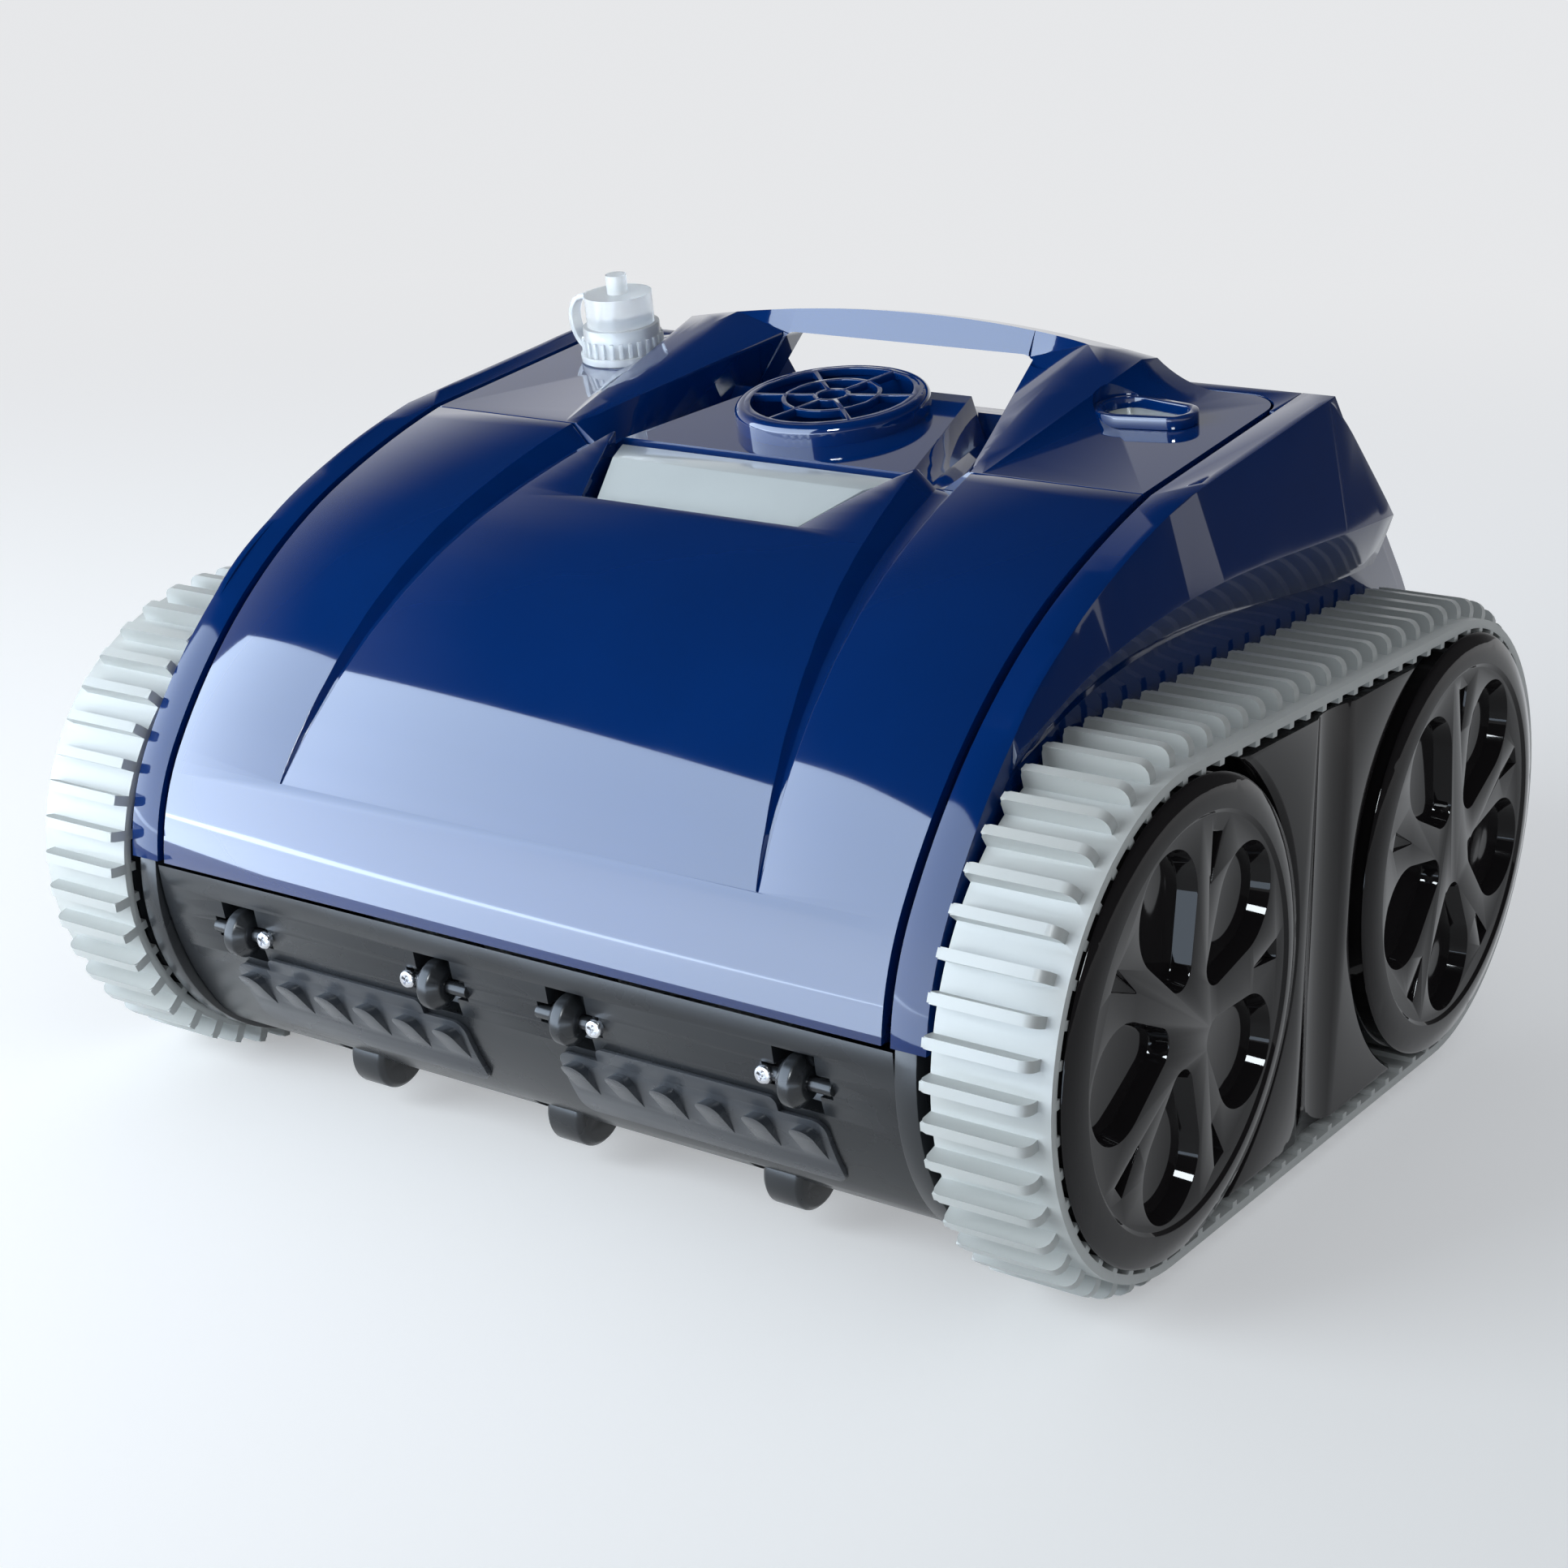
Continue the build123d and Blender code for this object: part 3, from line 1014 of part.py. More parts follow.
def cap(y, turn):
    """A wheel cap: a moulded disc with five scooped petals."""
    with BuildPart() as piece:
        add(spun([(CAP_BACK, CAP_HOLLOW), (CAP_FACE - CAP_DISH - CAP_WALL, CAP_HOLLOW),
                  (CAP_FACE - CAP_DISH - CAP_WALL, 0), (CAP_FACE - CAP_DISH, 0),
                  (CAP_FACE - CAP_DISH, CAP_CREASE_RADIUS - 1.5), (CAP_FACE, CAP_CREASE_RADIUS),
                  (CAP_FACE - 0.7, CAP_CREASE_RADIUS + 5.0), (CAP_FACE - 2.2, CAP_RADIUS - 1.2),
                  (CAP_FACE - 3.2, CAP_RADIUS), (TRACK_OUTER + 0.4, CAP_RADIUS), (TRACK_OUTER + 0.4, CAP_NECK),
                  (CAP_BACK, CAP_NECK)], 0))
        step = 360 / SPOKE_COUNT
        lining = petal(CAP_FACE - CAP_DISH - 0.5, PETAL_WALL, 0.5 - PETAL_DEPTH - PETAL_WALL, 0)
        hollow = petal(CAP_FACE - CAP_DISH, 0, -PETAL_DEPTH, PETAL_DRAFT)
        for tool, at, mode in ((lining, 0, Mode.ADD), (hollow, 0, Mode.SUBTRACT),
                               (notch(), step / 2, Mode.SUBTRACT)):
            add([Pos(0, 0, AXLE_Z) * Rot(turn + at + spoke * step, 0, 0) * tool for spoke in range(SPOKE_COUNT)],
                mode=mode)
    return Pos(0, y, 0) * piece.part


for name, y, bore, turn in (("front", FRONT_AXLE_Y, AXLE_RADIUS + AXLE_RUNNING, 42.0),
                            ("rear", REAR_AXLE_Y, AXLE_RADIUS, 56.0)):
    with BuildPart() as wheel:
        add(drum(y, bore))
    write(wheel, f"left_{name}_wheel")
    mirrored(wheel, f"right_{name}_wheel")
    with BuildPart() as wheel_cap:
        add(cap(y, turn))
    write(wheel_cap, f"left_{name}_cap")
    mirrored(wheel_cap, f"right_{name}_cap")

with BuildPart() as front_axles:
    add(rod(HOUSING_HALF_WIDTH - 15, DRUM_OUTER - 1, FRONT_AXLE_Y, AXLE_Z, AXLE_RADIUS))
    mirror(about=Plane.YZ)
write(front_axles, "front_axles")

with BuildPart() as axle_bearings:
    for y, bore in ((FRONT_AXLE_Y, AXLE_RADIUS), (REAR_AXLE_Y, AXLE_RADIUS + AXLE_RUNNING)):
        add(spun([(FRAME_INNER, bore), (FRAME_INNER, BEARING_RADIUS), (TRACK_INNER - 2.5, BEARING_RADIUS),
                  (TRACK_INNER - 2.5, bore)], y))
    mirror(about=Plane.YZ)
write(axle_bearings, "axle_bearings")

# ---------------------------------------------------------------- track guards

GUARD_TOP = RIB_TIP - GUARD_TO_BELT
GUARD_FACE = TRACK_OUTER - 1.0
GUARD_POST_RISE = 42.0
GUARD_SCOOP = 2.6
GUARD_SCOOP_HALF = 16.5
GUARD_BEVEL = 2.2

with BuildPart() as left_track_guard:
    with BuildSketch(Plane.YZ.offset(GUARD_FACE - GUARD_THICKNESS)):
        with Locations((0, AXLE_Z)):
            Rectangle(WHEEL_BASE - 60.0, 2 * GUARD_TOP)
        for y in (FRONT_AXLE_Y, REAR_AXLE_Y):
            with Locations((y, AXLE_Z)):
                Circle(CAP_RADIUS + GUARD_GAP, mode=Mode.SUBTRACT)
    extrude(amount=GUARD_THICKNESS)
    chamfer(left_track_guard.faces().sort_by(Axis.X)[-1].edges().filter_by(GeomType.CIRCLE), GUARD_BEVEL)
    with BuildSketch(Plane.XY.offset(AXLE_Z - GUARD_TOP - 1)):
        with BuildLine():
            scoop = ThreePointArc((GUARD_FACE + 0.1, -GUARD_SCOOP_HALF), (GUARD_FACE - GUARD_SCOOP, 0),
                                  (GUARD_FACE + 0.1, GUARD_SCOOP_HALF))
            Line(scoop @ 1, scoop @ 0)
        make_face()
    extrude(amount=2 * GUARD_TOP + 2, mode=Mode.SUBTRACT)
    for rise in (-GUARD_POST_RISE, GUARD_POST_RISE):
        add(rod(FRAME_SEAT, GUARD_FACE - GUARD_THICKNESS, 0, AXLE_Z + rise, GUARD_POST_RADIUS))
write(left_track_guard, "left_track_guard")
mirrored(left_track_guard, "right_track_guard")

# ---------------------------------------------------------------- drive train

GEAR_INNER = MOTOR_INNER + MOTOR_LENGTH + 8.0


def toothed(teeth, phase):
    """A spur gear's flat outline."""
    pitch = 360.0 / teeth
    root = GEAR_MODULE * (teeth / 2 - 1.25)
    tip = GEAR_MODULE * (teeth / 2 + 0.9)
    flank = ((root, -0.28), (tip, -0.11), (tip, 0.11), (root, 0.28))
    with BuildSketch() as sketch:
        Polygon(*[(radius * cos(radians(phase + (tooth + share) * pitch)),
                   radius * sin(radians(phase + (tooth + share) * pitch)))
                  for tooth in range(teeth) for radius, share in flank], align=None)
    return sketch.sketch


with BuildPart() as left_drive_shaft:
    with BuildSketch(Plane.YZ.offset(GEAR_INNER)):
        with Locations((REAR_AXLE_Y, AXLE_Z)):
            add(toothed(GEAR_TEETH, 0.0))
    extrude(amount=GEAR_WIDTH)
    add(rod(GEAR_INNER - 6, DRUM_OUTER - 1, REAR_AXLE_Y, AXLE_Z, AXLE_RADIUS))
write(left_drive_shaft, "left_drive_shaft")
mirrored(left_drive_shaft, "right_drive_shaft")

PINION_STUB = 3.0
with BuildPart() as left_pinion:
    with BuildSketch(Plane.YZ.offset(GEAR_INNER - 1)):
        with Locations((MOTOR_Y, AXLE_Z)):
            add(toothed(PINION_TEETH, 180.0 / PINION_TEETH))
    extrude(amount=GEAR_WIDTH + 2)
    add(rod(MOTOR_INNER + MOTOR_LENGTH - 15, GEAR_INNER, MOTOR_Y, AXLE_Z, PINION_STUB))
write(left_pinion, "left_pinion")
mirrored(left_pinion, "right_pinion")

with BuildPart() as left_motor:
    add(rod(MOTOR_INNER, MOTOR_INNER + MOTOR_LENGTH, MOTOR_Y, AXLE_Z, MOTOR_RADIUS))
    add(rod(MOTOR_INNER + MOTOR_LENGTH - 1, MOTOR_INNER + MOTOR_LENGTH + 4, MOTOR_Y, AXLE_Z, 8.0))
    add(rod(MOTOR_INNER + MOTOR_LENGTH - 18, BIG, MOTOR_Y, AXLE_Z, PINION_STUB + AXLE_RUNNING), mode=Mode.SUBTRACT)
write(left_motor, "left_motor")
mirrored(left_motor, "right_motor")

# ---------------------------------------------------------------- front rollers and pads

roller_names = ("right_outer", "right_inner", "left_inner", "left_outer")

for x, name in zip(ROLLERS, roller_names):
    with BuildPart() as roller:
        add(Pos(x, ROLLER_Y, ROLLER_Z - AXLE_Z) * spun(
            [(-ROLLER_WIDTH / 2, ROLLER_PIN_RADIUS + AXLE_RUNNING), (-ROLLER_WIDTH / 2, ROLLER_NOSE),
             (-ROLLER_NOSE_WIDTH / 2, ROLLER_RADIUS), (ROLLER_NOSE_WIDTH / 2, ROLLER_RADIUS),
             (ROLLER_WIDTH / 2, ROLLER_NOSE), (ROLLER_WIDTH / 2, ROLLER_PIN_RADIUS + AXLE_RUNNING)], 0))
    write(roller, f"roller_{name}")

with BuildPart() as roller_pins:
    add([roller_pin(x) for x in ROLLERS])
write(roller_pins, "roller_pins")

with BuildPart() as roller_screws:
    for x in ROLLERS:
        seat = x + roller_facing(x) * SCREW_REACH
        ends = sorted((seat, seat + roller_facing(x) * SCREW_HEAD_HEIGHT))
        add(rod(*ends, ROLLER_Y, ROLLER_Z, SCREW_HEAD_RADIUS))
write(roller_screws, "roller_screws")

PAD_HALF = 3 * PAD_PITCH - 1.6
PAD_TAB_HALF = ROLLER_OFFSET - WINDOW_WIDTH / 2 - 1.2
PAD_SHELF_Z = WINDOW_BOTTOM_Z - 3.0


def front_shell(thickness):
    """The space within a set height of the housing's front."""
    grown = upright(offset(housing_outline, amount=thickness), -BIG / 2, BIG / 2)
    with BuildPart() as piece:
        add(grown)
        add(upright(housing_outline, -BIG / 2, BIG / 2), mode=Mode.SUBTRACT)
        with Locations((0, -BIG / 2, AXLE_Z)):
            Box(BIG, BIG, BIG, mode=Mode.INTERSECT)
    return piece.part


def front_view(x, half, z_from, z_to, corner):
    """A rounded block seen from the front, long enough to cut through the housing's front."""
    with BuildPart() as piece:
        with BuildSketch(Plane.XZ.offset(BIG / 8)):
            with Locations((x, (z_from + z_to) / 2)):
                RectangleRounded(2 * half, z_to - z_from, corner)
        extrude(amount=BIG / 4)
    return piece.part


def front_y(z):
    """Where the housing's front lies at a height."""
    row = Edge.make_line((-BIG, z), (0, z)) & housing_outline.faces()[0]
    return row.vertices().sort_by(Axis.X)[0].X


fin_middle_z = (PAD_FIN_TIP_Z + PAD_FIN_FOOT_Z) / 2
fin_tip = (front_y(PAD_FIN_TIP_Z) - PAD_RIB_HEIGHT, PAD_FIN_TIP_Z)
fin_foot = (front_y(PAD_FIN_FOOT_Z) - PAD_THICKNESS / 2, PAD_FIN_FOOT_Z)
fin_hollow = (front_y(fin_middle_z) - PAD_RIB_HEIGHT * 0.55, fin_middle_z)
with BuildSketch() as fin_side:
    with BuildLine():
        rake = ThreePointArc(fin_foot, fin_hollow, fin_tip)
        Polyline(rake @ 1, (fin_tip[0] + 1.0, PAD_SHELF_Z), (0, PAD_SHELF_Z), (0, PAD_FIN_FOOT_Z), rake @ 0)
    make_face()

pad_shape = front_view(PAD_X, PAD_HALF, PAD_BOTTOM_Z, PAD_SHELF_Z, 5.0) + front_view(
    PAD_X, PAD_TAB_HALF, PAD_BOTTOM_Z + 8, PAD_TOP_Z, 3.0)
pad_ribs = Part() + [front_view(PAD_X + (rib - (PAD_RIBS - 1) / 2) * PAD_PITCH, PAD_RIB_WIDTH / 2,
                                PAD_BOTTOM_Z + PAD_MARGIN, PAD_SHELF_Z - PAD_MARGIN, 4.0) for rib in range(PAD_RIBS)]

with BuildPart() as left_front_pad:
    add(front_shell(PAD_THICKNESS) & pad_shape)
    add(front_shell(PAD_RIB_HEIGHT + 1) & pad_ribs & upright(fin_side.sketch, 0, BIG))
write(left_front_pad, "left_front_pad")
mirrored(left_front_pad, "right_front_pad")

# ---------------------------------------------------------------- casters below the front

for side, name in ((-1, "right"), (0, "middle"), (1, "left")):
    with BuildPart() as caster:
        add(Pos(side * CASTER_X, CASTER_Y, CASTER_Z - AXLE_Z) * spun(
            [(-CASTER_WIDTH / 2, ROLLER_PIN_RADIUS + AXLE_RUNNING), (-CASTER_WIDTH / 2, CASTER_RADIUS - 2),
             (2 - CASTER_WIDTH / 2, CASTER_RADIUS), (CASTER_WIDTH / 2 - 2, CASTER_RADIUS),
             (CASTER_WIDTH / 2, CASTER_RADIUS - 2), (CASTER_WIDTH / 2, ROLLER_PIN_RADIUS + AXLE_RUNNING)], 0))
    write(caster, f"caster_{name}")

with BuildPart() as caster_pins:
    for side in (-1, 0, 1):
        add(rod(side * CASTER_X - CASTER_PIN, side * CASTER_X + CASTER_PIN, CASTER_Y, CASTER_Z, ROLLER_PIN_RADIUS))
write(caster_pins, "caster_pins")

# ---------------------------------------------------------------- switch and charging port

with BuildPart() as button_bezel:
    add(egg(0.0, 0, SWITCH_RISE))
    add(egg(1.5, -9, 10))
    add(egg(SWITCH_WALL, -7, 20), mode=Mode.SUBTRACT)
    add(post(switch_plane, SWITCH_STEM, -10, 20), mode=Mode.SUBTRACT)
write(button_bezel, "button_bezel")

with BuildPart() as power_button:
    add(egg(SWITCH_WALL + AXLE_RUNNING, SWITCH_TRAVEL - 6.5, 5.5))
    add(post(switch_plane, SWITCH_STEM - AXLE_RUNNING, SWITCH_TRAVEL - 9, 6))
write(power_button, "power_button")

PORT_BORE = PORT_CAP_RADIUS - 3.5
PORT_PLUG = 8.0
PORT_TOP = PORT_RISE - 5.0

with BuildPart() as charge_socket:
    add(post(port_plane, PORT_RADIUS, 0, PORT_TOP))
    add(post(port_plane, PORT_RADIUS - 2.0, -14, 15))
    add(post(port_plane, PORT_BORE, -11, 60), mode=Mode.SUBTRACT)
write(charge_socket, "charge_socket")

with BuildPart() as charge_cap:
    add(post(port_plane, PORT_CAP_RADIUS, PORT_TOP, PORT_CAP_HEIGHT - 4))
    add(post(port_plane, PORT_BORE - AXLE_RUNNING, PORT_TOP - PORT_PLUG, PORT_PLUG + 1))
    add(post(port_plane, 4.5, PORT_TOP + 10, PORT_CAP_HEIGHT - 6))
write(charge_cap, "charge_cap")

with BuildPart() as charge_pins:
    with BuildSketch(port_plane.offset(-11)):
        with PolarLocations(5.0, 4):
            Circle(1.2)
    extrude(amount=12)
write(charge_pins, "charge_pins")

TETHER_BAND = 3.0
with BuildPart() as cap_tether:
    with BuildSketch(port_plane.offset(0.5)):
        Circle(PORT_RADIUS + TETHER_WALL)
        Circle(PORT_RADIUS, mode=Mode.SUBTRACT)
    extrude(amount=TETHER_BAND)
    with BuildSketch(Plane(origin=port_plane.origin, x_dir=(1, 0, 0), z_dir=(0, -1, -COVER_SLOPE))):
        with BuildLine():
            outer = Spline((-PORT_RADIUS - 1.6, 2.0), (-PORT_RADIUS - 9.0, 12.0), (-PORT_RADIUS - 6.5, 24.0),
                           (0.6 - PORT_CAP_RADIUS - 2.6, 27.0))
            inner = Spline((-PORT_RADIUS - 0.8, 3.8), (-PORT_RADIUS - 7.0, 12.2), (-PORT_RADIUS - 5.0, 22.8),
                           (0.6 - PORT_CAP_RADIUS - 2.6, 25.0))
            Line(outer @ 0, inner @ 0)
            Line(outer @ 1, inner @ 1)
        make_face()
    extrude(amount=3.0, both=True)
write(cap_tether, "cap_tether")

# ---------------------------------------------------------------- pump below the outlet

PUMP_TUBE_LONG = 84.0
PUMP_TOP = DUCT_DEPTH
IMPELLER_DEPTH = PUMP_TOP + 6.0
IMPELLER_HEIGHT = 16.0
MOTOR_DEPTH = IMPELLER_DEPTH + IMPELLER_HEIGHT + 3.0
PUMP_MOTOR_LONG = 50.0
PUMP_SHAFT = 3.0


def outlet_post(radius, depth, height):
    """A round post on the outlet's axis, from a depth below the block upwards."""
    with BuildPart() as piece:
        with BuildSketch(outlet_plane.offset(-depth)):
            Circle(radius)
        extrude(amount=height)
    return piece.part


with BuildPart() as pump_housing:
    add(outlet_post(OUTLET_BORE + DUCT_WALL, PUMP_TOP + PUMP_TUBE_LONG, PUMP_TUBE_LONG))
    add(outlet_post(OUTLET_BORE, PUMP_TOP + PUMP_TUBE_LONG + 1, PUMP_TUBE_LONG + 2), mode=Mode.SUBTRACT)
    with BuildSketch(outlet_plane.offset(-PUMP_TOP - PUMP_TUBE_LONG)):
        with PolarLocations((PUMP_RADIUS + OUTLET_BORE) / 2 + 0.5, 4):
            Rectangle(OUTLET_BORE - PUMP_RADIUS + 1.0, 3.0)
    extrude(amount=PUMP_TOP + PUMP_TUBE_LONG - MOTOR_DEPTH - 2)
    add(outlet_post(PUMP_RADIUS, BIG / 4, BIG / 4), mode=Mode.SUBTRACT)
write(pump_housing, "pump_housing")

with BuildPart() as pump_motor:
    add(outlet_post(PUMP_RADIUS, MOTOR_DEPTH + PUMP_MOTOR_LONG, PUMP_MOTOR_LONG))
    add(outlet_post(PUMP_SHAFT + AXLE_RUNNING, MOTOR_DEPTH + 12, 20), mode=Mode.SUBTRACT)
write(pump_motor, "pump_motor")

with BuildPart() as blade:
    for reach, lean in ((8.0, 52.0), (IMPELLER_RADIUS, 24.0)):
        middle = outlet_plane.offset(-IMPELLER_DEPTH - IMPELLER_HEIGHT / 2).location
        section = Plane(origin=(reach, 0, 0), x_dir=(0, cos(radians(lean)), sin(radians(lean))), z_dir=(1, 0, 0))
        with BuildSketch(Plane(middle * section.location)):
            Rectangle(16.0, 1.8)
    loft(ruled=True)

with BuildPart() as impeller:
    add(outlet_post(9.0, IMPELLER_DEPTH + IMPELLER_HEIGHT, IMPELLER_HEIGHT))
    add(outlet_post(PUMP_SHAFT, MOTOR_DEPTH + 10, 20))
    spin = outlet_plane.offset(-IMPELLER_DEPTH)
    for turn in range(BLADE_COUNT):
        add(blade.part.rotate(Axis(spin.origin, spin.z_dir), 360 * turn / BLADE_COUNT))
write(impeller, "impeller")

# ---------------------------------------------------------------- filter, battery and electronics

FLAP_OVERLAP = 3.0
FLAP_PIN_Y = INTAKE_Y + INTAKE_HALF_DEPTH + 8.0
FLAP_PIN_Z = BASKET_FLOOR_Z + BASKET_WALL + 4.0
FLAP_HALF = INTAKE_HALF_WIDTH - 8.0
basket_solid = plank(-BASKET_HALF_WIDTH, BASKET_HALF_WIDTH, BASKET_FRONT_Y, BASKET_REAR_Y, BASKET_FLOOR_Z,
                     BASKET_TOP_Z)
basket_space = plank(BASKET_WALL - BASKET_HALF_WIDTH, BASKET_HALF_WIDTH - BASKET_WALL,
                     BASKET_FRONT_Y + BASKET_WALL, BASKET_REAR_Y - BASKET_WALL, BASKET_FLOOR_Z + BASKET_WALL, BIG)
flap_ears = plank(-FLAP_HALF, FLAP_HALF, FLAP_PIN_Y - 4, FLAP_PIN_Y + 4, BASKET_FLOOR_Z, FLAP_PIN_Z + 4)
WINDOW_COLUMNS = 6
WINDOW_PITCH_X = 32.0
WINDOW_PITCH_Z = 34.0

with BuildPart() as filter_basket:
    add(basket_solid)
    add(basket_space, mode=Mode.SUBTRACT)
    add(flap_ears)
    add(plank(4 - FLAP_HALF, FLAP_HALF - 4, FLAP_PIN_Y - 9, FLAP_PIN_Y + 9, BASKET_FLOOR_Z + BASKET_WALL, BIG),
        mode=Mode.SUBTRACT)
    add(plank(-INTAKE_HALF_WIDTH + 12, INTAKE_HALF_WIDTH - 12, INTAKE_Y - INTAKE_HALF_DEPTH + 1,
              INTAKE_Y + INTAKE_HALF_DEPTH - 1, 0, BASKET_TOP_Z), mode=Mode.SUBTRACT)
    add(rod(-BIG, BIG, FLAP_PIN_Y, FLAP_PIN_Z, 1.5 + AXLE_RUNNING), mode=Mode.SUBTRACT)
    with Locations((0, BASKET_REAR_Y, (BASKET_FLOOR_Z + BASKET_TOP_Z) / 2 + 4)):
        with GridLocations(WINDOW_PITCH_X, WINDOW_PITCH_Z, WINDOW_COLUMNS, 1):
            Box(24, 3 * BASKET_WALL, 80, mode=Mode.SUBTRACT)
    for side in (-1, 1):
        for step in (-1, 0, 1):
            with Locations((side * BASKET_HALF_WIDTH, (BASKET_FRONT_Y + BASKET_REAR_Y) / 2 + 30 * step,
                            (BASKET_FLOOR_Z + BASKET_TOP_Z) / 2 + 4)):
                Box(3 * BASKET_WALL, 22, 80, mode=Mode.SUBTRACT)
write(filter_basket, "filter_basket")

with BuildPart() as filter_mesh:
    add(plank(6 - BASKET_HALF_WIDTH, BASKET_HALF_WIDTH - 6, BASKET_REAR_Y - BASKET_WALL - 1.0,
              BASKET_REAR_Y - BASKET_WALL, BASKET_FLOOR_Z + 8, BASKET_TOP_Z - 6))
    for side in (-1, 1):
        edge = side * (BASKET_HALF_WIDTH - BASKET_WALL)
        add(plank(*sorted((edge, edge - side)), BASKET_FRONT_Y + 6, BASKET_REAR_Y - 6, BASKET_FLOOR_Z + 8,
                  BASKET_TOP_Z - 6))
write(filter_mesh, "filter_mesh")

with BuildPart() as intake_flap:
    add(plank(FACE + 4 - FLAP_HALF, FLAP_HALF - 4 - FACE, INTAKE_Y - INTAKE_HALF_DEPTH - FLAP_OVERLAP, FLAP_PIN_Y,
              BASKET_FLOOR_Z + BASKET_WALL + 0.2, BASKET_FLOOR_Z + BASKET_WALL + 2.2))
    add(rod(FACE + 4 - FLAP_HALF, FLAP_HALF - 4 - FACE, FLAP_PIN_Y, FLAP_PIN_Z, 3.4))
    add(rod(1 - FLAP_HALF, FLAP_HALF - 1, FLAP_PIN_Y, FLAP_PIN_Z, 1.5))
write(intake_flap, "intake_flap")

BATTERY_HALF = 55.0
with BuildPart() as battery_pack:
    add(plank(-BATTERY_HALF, BATTERY_HALF, 30, 144, FLOOR_Z + HOUSING_WALL, 80))
    chamfer(battery_pack.edges().filter_by(Axis.Z), 4)
write(battery_pack, "battery_pack")

with BuildPart() as control_box:
    add(plank(5 - BATTERY_HALF, BATTERY_HALF - 5, 62, 142, 80, 120))
    chamfer(control_box.faces().sort_by(Axis.Z)[-1].edges(), 3)
write(control_box, "control_box")
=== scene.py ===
"""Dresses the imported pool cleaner: finer pieces over the CAD frame, their finishes, and a plain studio."""

from __future__ import annotations

import json
import logging
import math
from dataclasses import dataclass, field
from enum import Enum
from typing import Callable

import bpy
from mathutils import Matrix, Vector
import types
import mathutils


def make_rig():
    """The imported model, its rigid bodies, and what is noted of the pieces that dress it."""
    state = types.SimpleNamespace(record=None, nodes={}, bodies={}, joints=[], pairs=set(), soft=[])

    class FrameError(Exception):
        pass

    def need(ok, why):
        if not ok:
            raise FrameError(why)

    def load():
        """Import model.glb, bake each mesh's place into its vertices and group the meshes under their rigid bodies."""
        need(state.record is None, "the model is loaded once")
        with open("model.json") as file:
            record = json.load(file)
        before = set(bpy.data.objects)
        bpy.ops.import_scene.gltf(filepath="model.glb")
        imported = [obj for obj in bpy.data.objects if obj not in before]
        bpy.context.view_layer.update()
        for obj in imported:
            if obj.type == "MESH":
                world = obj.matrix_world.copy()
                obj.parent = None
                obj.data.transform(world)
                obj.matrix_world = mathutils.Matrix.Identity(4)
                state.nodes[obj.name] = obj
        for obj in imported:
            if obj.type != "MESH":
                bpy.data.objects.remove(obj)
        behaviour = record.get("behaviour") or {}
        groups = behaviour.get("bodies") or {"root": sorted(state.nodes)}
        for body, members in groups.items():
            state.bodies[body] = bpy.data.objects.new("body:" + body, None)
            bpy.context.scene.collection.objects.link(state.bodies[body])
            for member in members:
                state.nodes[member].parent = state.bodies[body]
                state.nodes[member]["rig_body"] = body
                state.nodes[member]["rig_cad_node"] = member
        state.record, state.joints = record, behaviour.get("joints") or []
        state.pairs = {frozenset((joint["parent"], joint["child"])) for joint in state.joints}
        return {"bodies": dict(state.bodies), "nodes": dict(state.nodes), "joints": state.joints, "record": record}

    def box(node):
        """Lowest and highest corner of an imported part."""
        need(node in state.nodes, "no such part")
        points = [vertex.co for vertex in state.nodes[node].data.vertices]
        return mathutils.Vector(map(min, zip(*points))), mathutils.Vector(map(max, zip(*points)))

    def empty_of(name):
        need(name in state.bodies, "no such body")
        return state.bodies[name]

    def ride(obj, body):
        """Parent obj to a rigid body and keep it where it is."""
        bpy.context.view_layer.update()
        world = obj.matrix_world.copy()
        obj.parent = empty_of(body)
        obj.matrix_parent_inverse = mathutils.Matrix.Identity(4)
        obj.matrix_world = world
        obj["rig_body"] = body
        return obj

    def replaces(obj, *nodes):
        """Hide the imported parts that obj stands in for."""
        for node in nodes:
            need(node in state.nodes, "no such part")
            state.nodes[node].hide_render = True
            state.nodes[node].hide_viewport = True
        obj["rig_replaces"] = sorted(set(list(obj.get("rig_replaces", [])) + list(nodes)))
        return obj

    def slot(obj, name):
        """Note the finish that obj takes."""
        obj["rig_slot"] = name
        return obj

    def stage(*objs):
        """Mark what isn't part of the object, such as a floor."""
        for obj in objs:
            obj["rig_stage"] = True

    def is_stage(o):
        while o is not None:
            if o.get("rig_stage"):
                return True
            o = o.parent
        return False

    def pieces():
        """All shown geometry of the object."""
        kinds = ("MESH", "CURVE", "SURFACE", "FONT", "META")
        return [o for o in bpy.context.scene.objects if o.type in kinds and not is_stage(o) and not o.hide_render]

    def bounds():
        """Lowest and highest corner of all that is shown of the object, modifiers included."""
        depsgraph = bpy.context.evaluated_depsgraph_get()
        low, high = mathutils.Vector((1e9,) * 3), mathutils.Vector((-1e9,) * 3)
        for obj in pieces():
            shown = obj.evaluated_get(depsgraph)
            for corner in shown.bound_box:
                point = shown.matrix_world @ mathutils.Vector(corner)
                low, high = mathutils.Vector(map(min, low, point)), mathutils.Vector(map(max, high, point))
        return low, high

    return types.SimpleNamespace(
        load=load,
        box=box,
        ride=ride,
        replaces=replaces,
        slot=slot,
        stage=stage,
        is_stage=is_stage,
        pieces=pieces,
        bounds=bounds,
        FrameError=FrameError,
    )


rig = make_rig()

LOG = logging.getLogger("pool_cleaner")
MM = 0.001
SIZE_FILE = "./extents.json"

TOUCHING = 1e-6          # metres within which two points are one
SQUARE_ON = 0.9          # least part of a face's normal along the way that it faces
SHARP_ANGLE = 30.0       # degrees above which a modelled piece's edge stays sharp

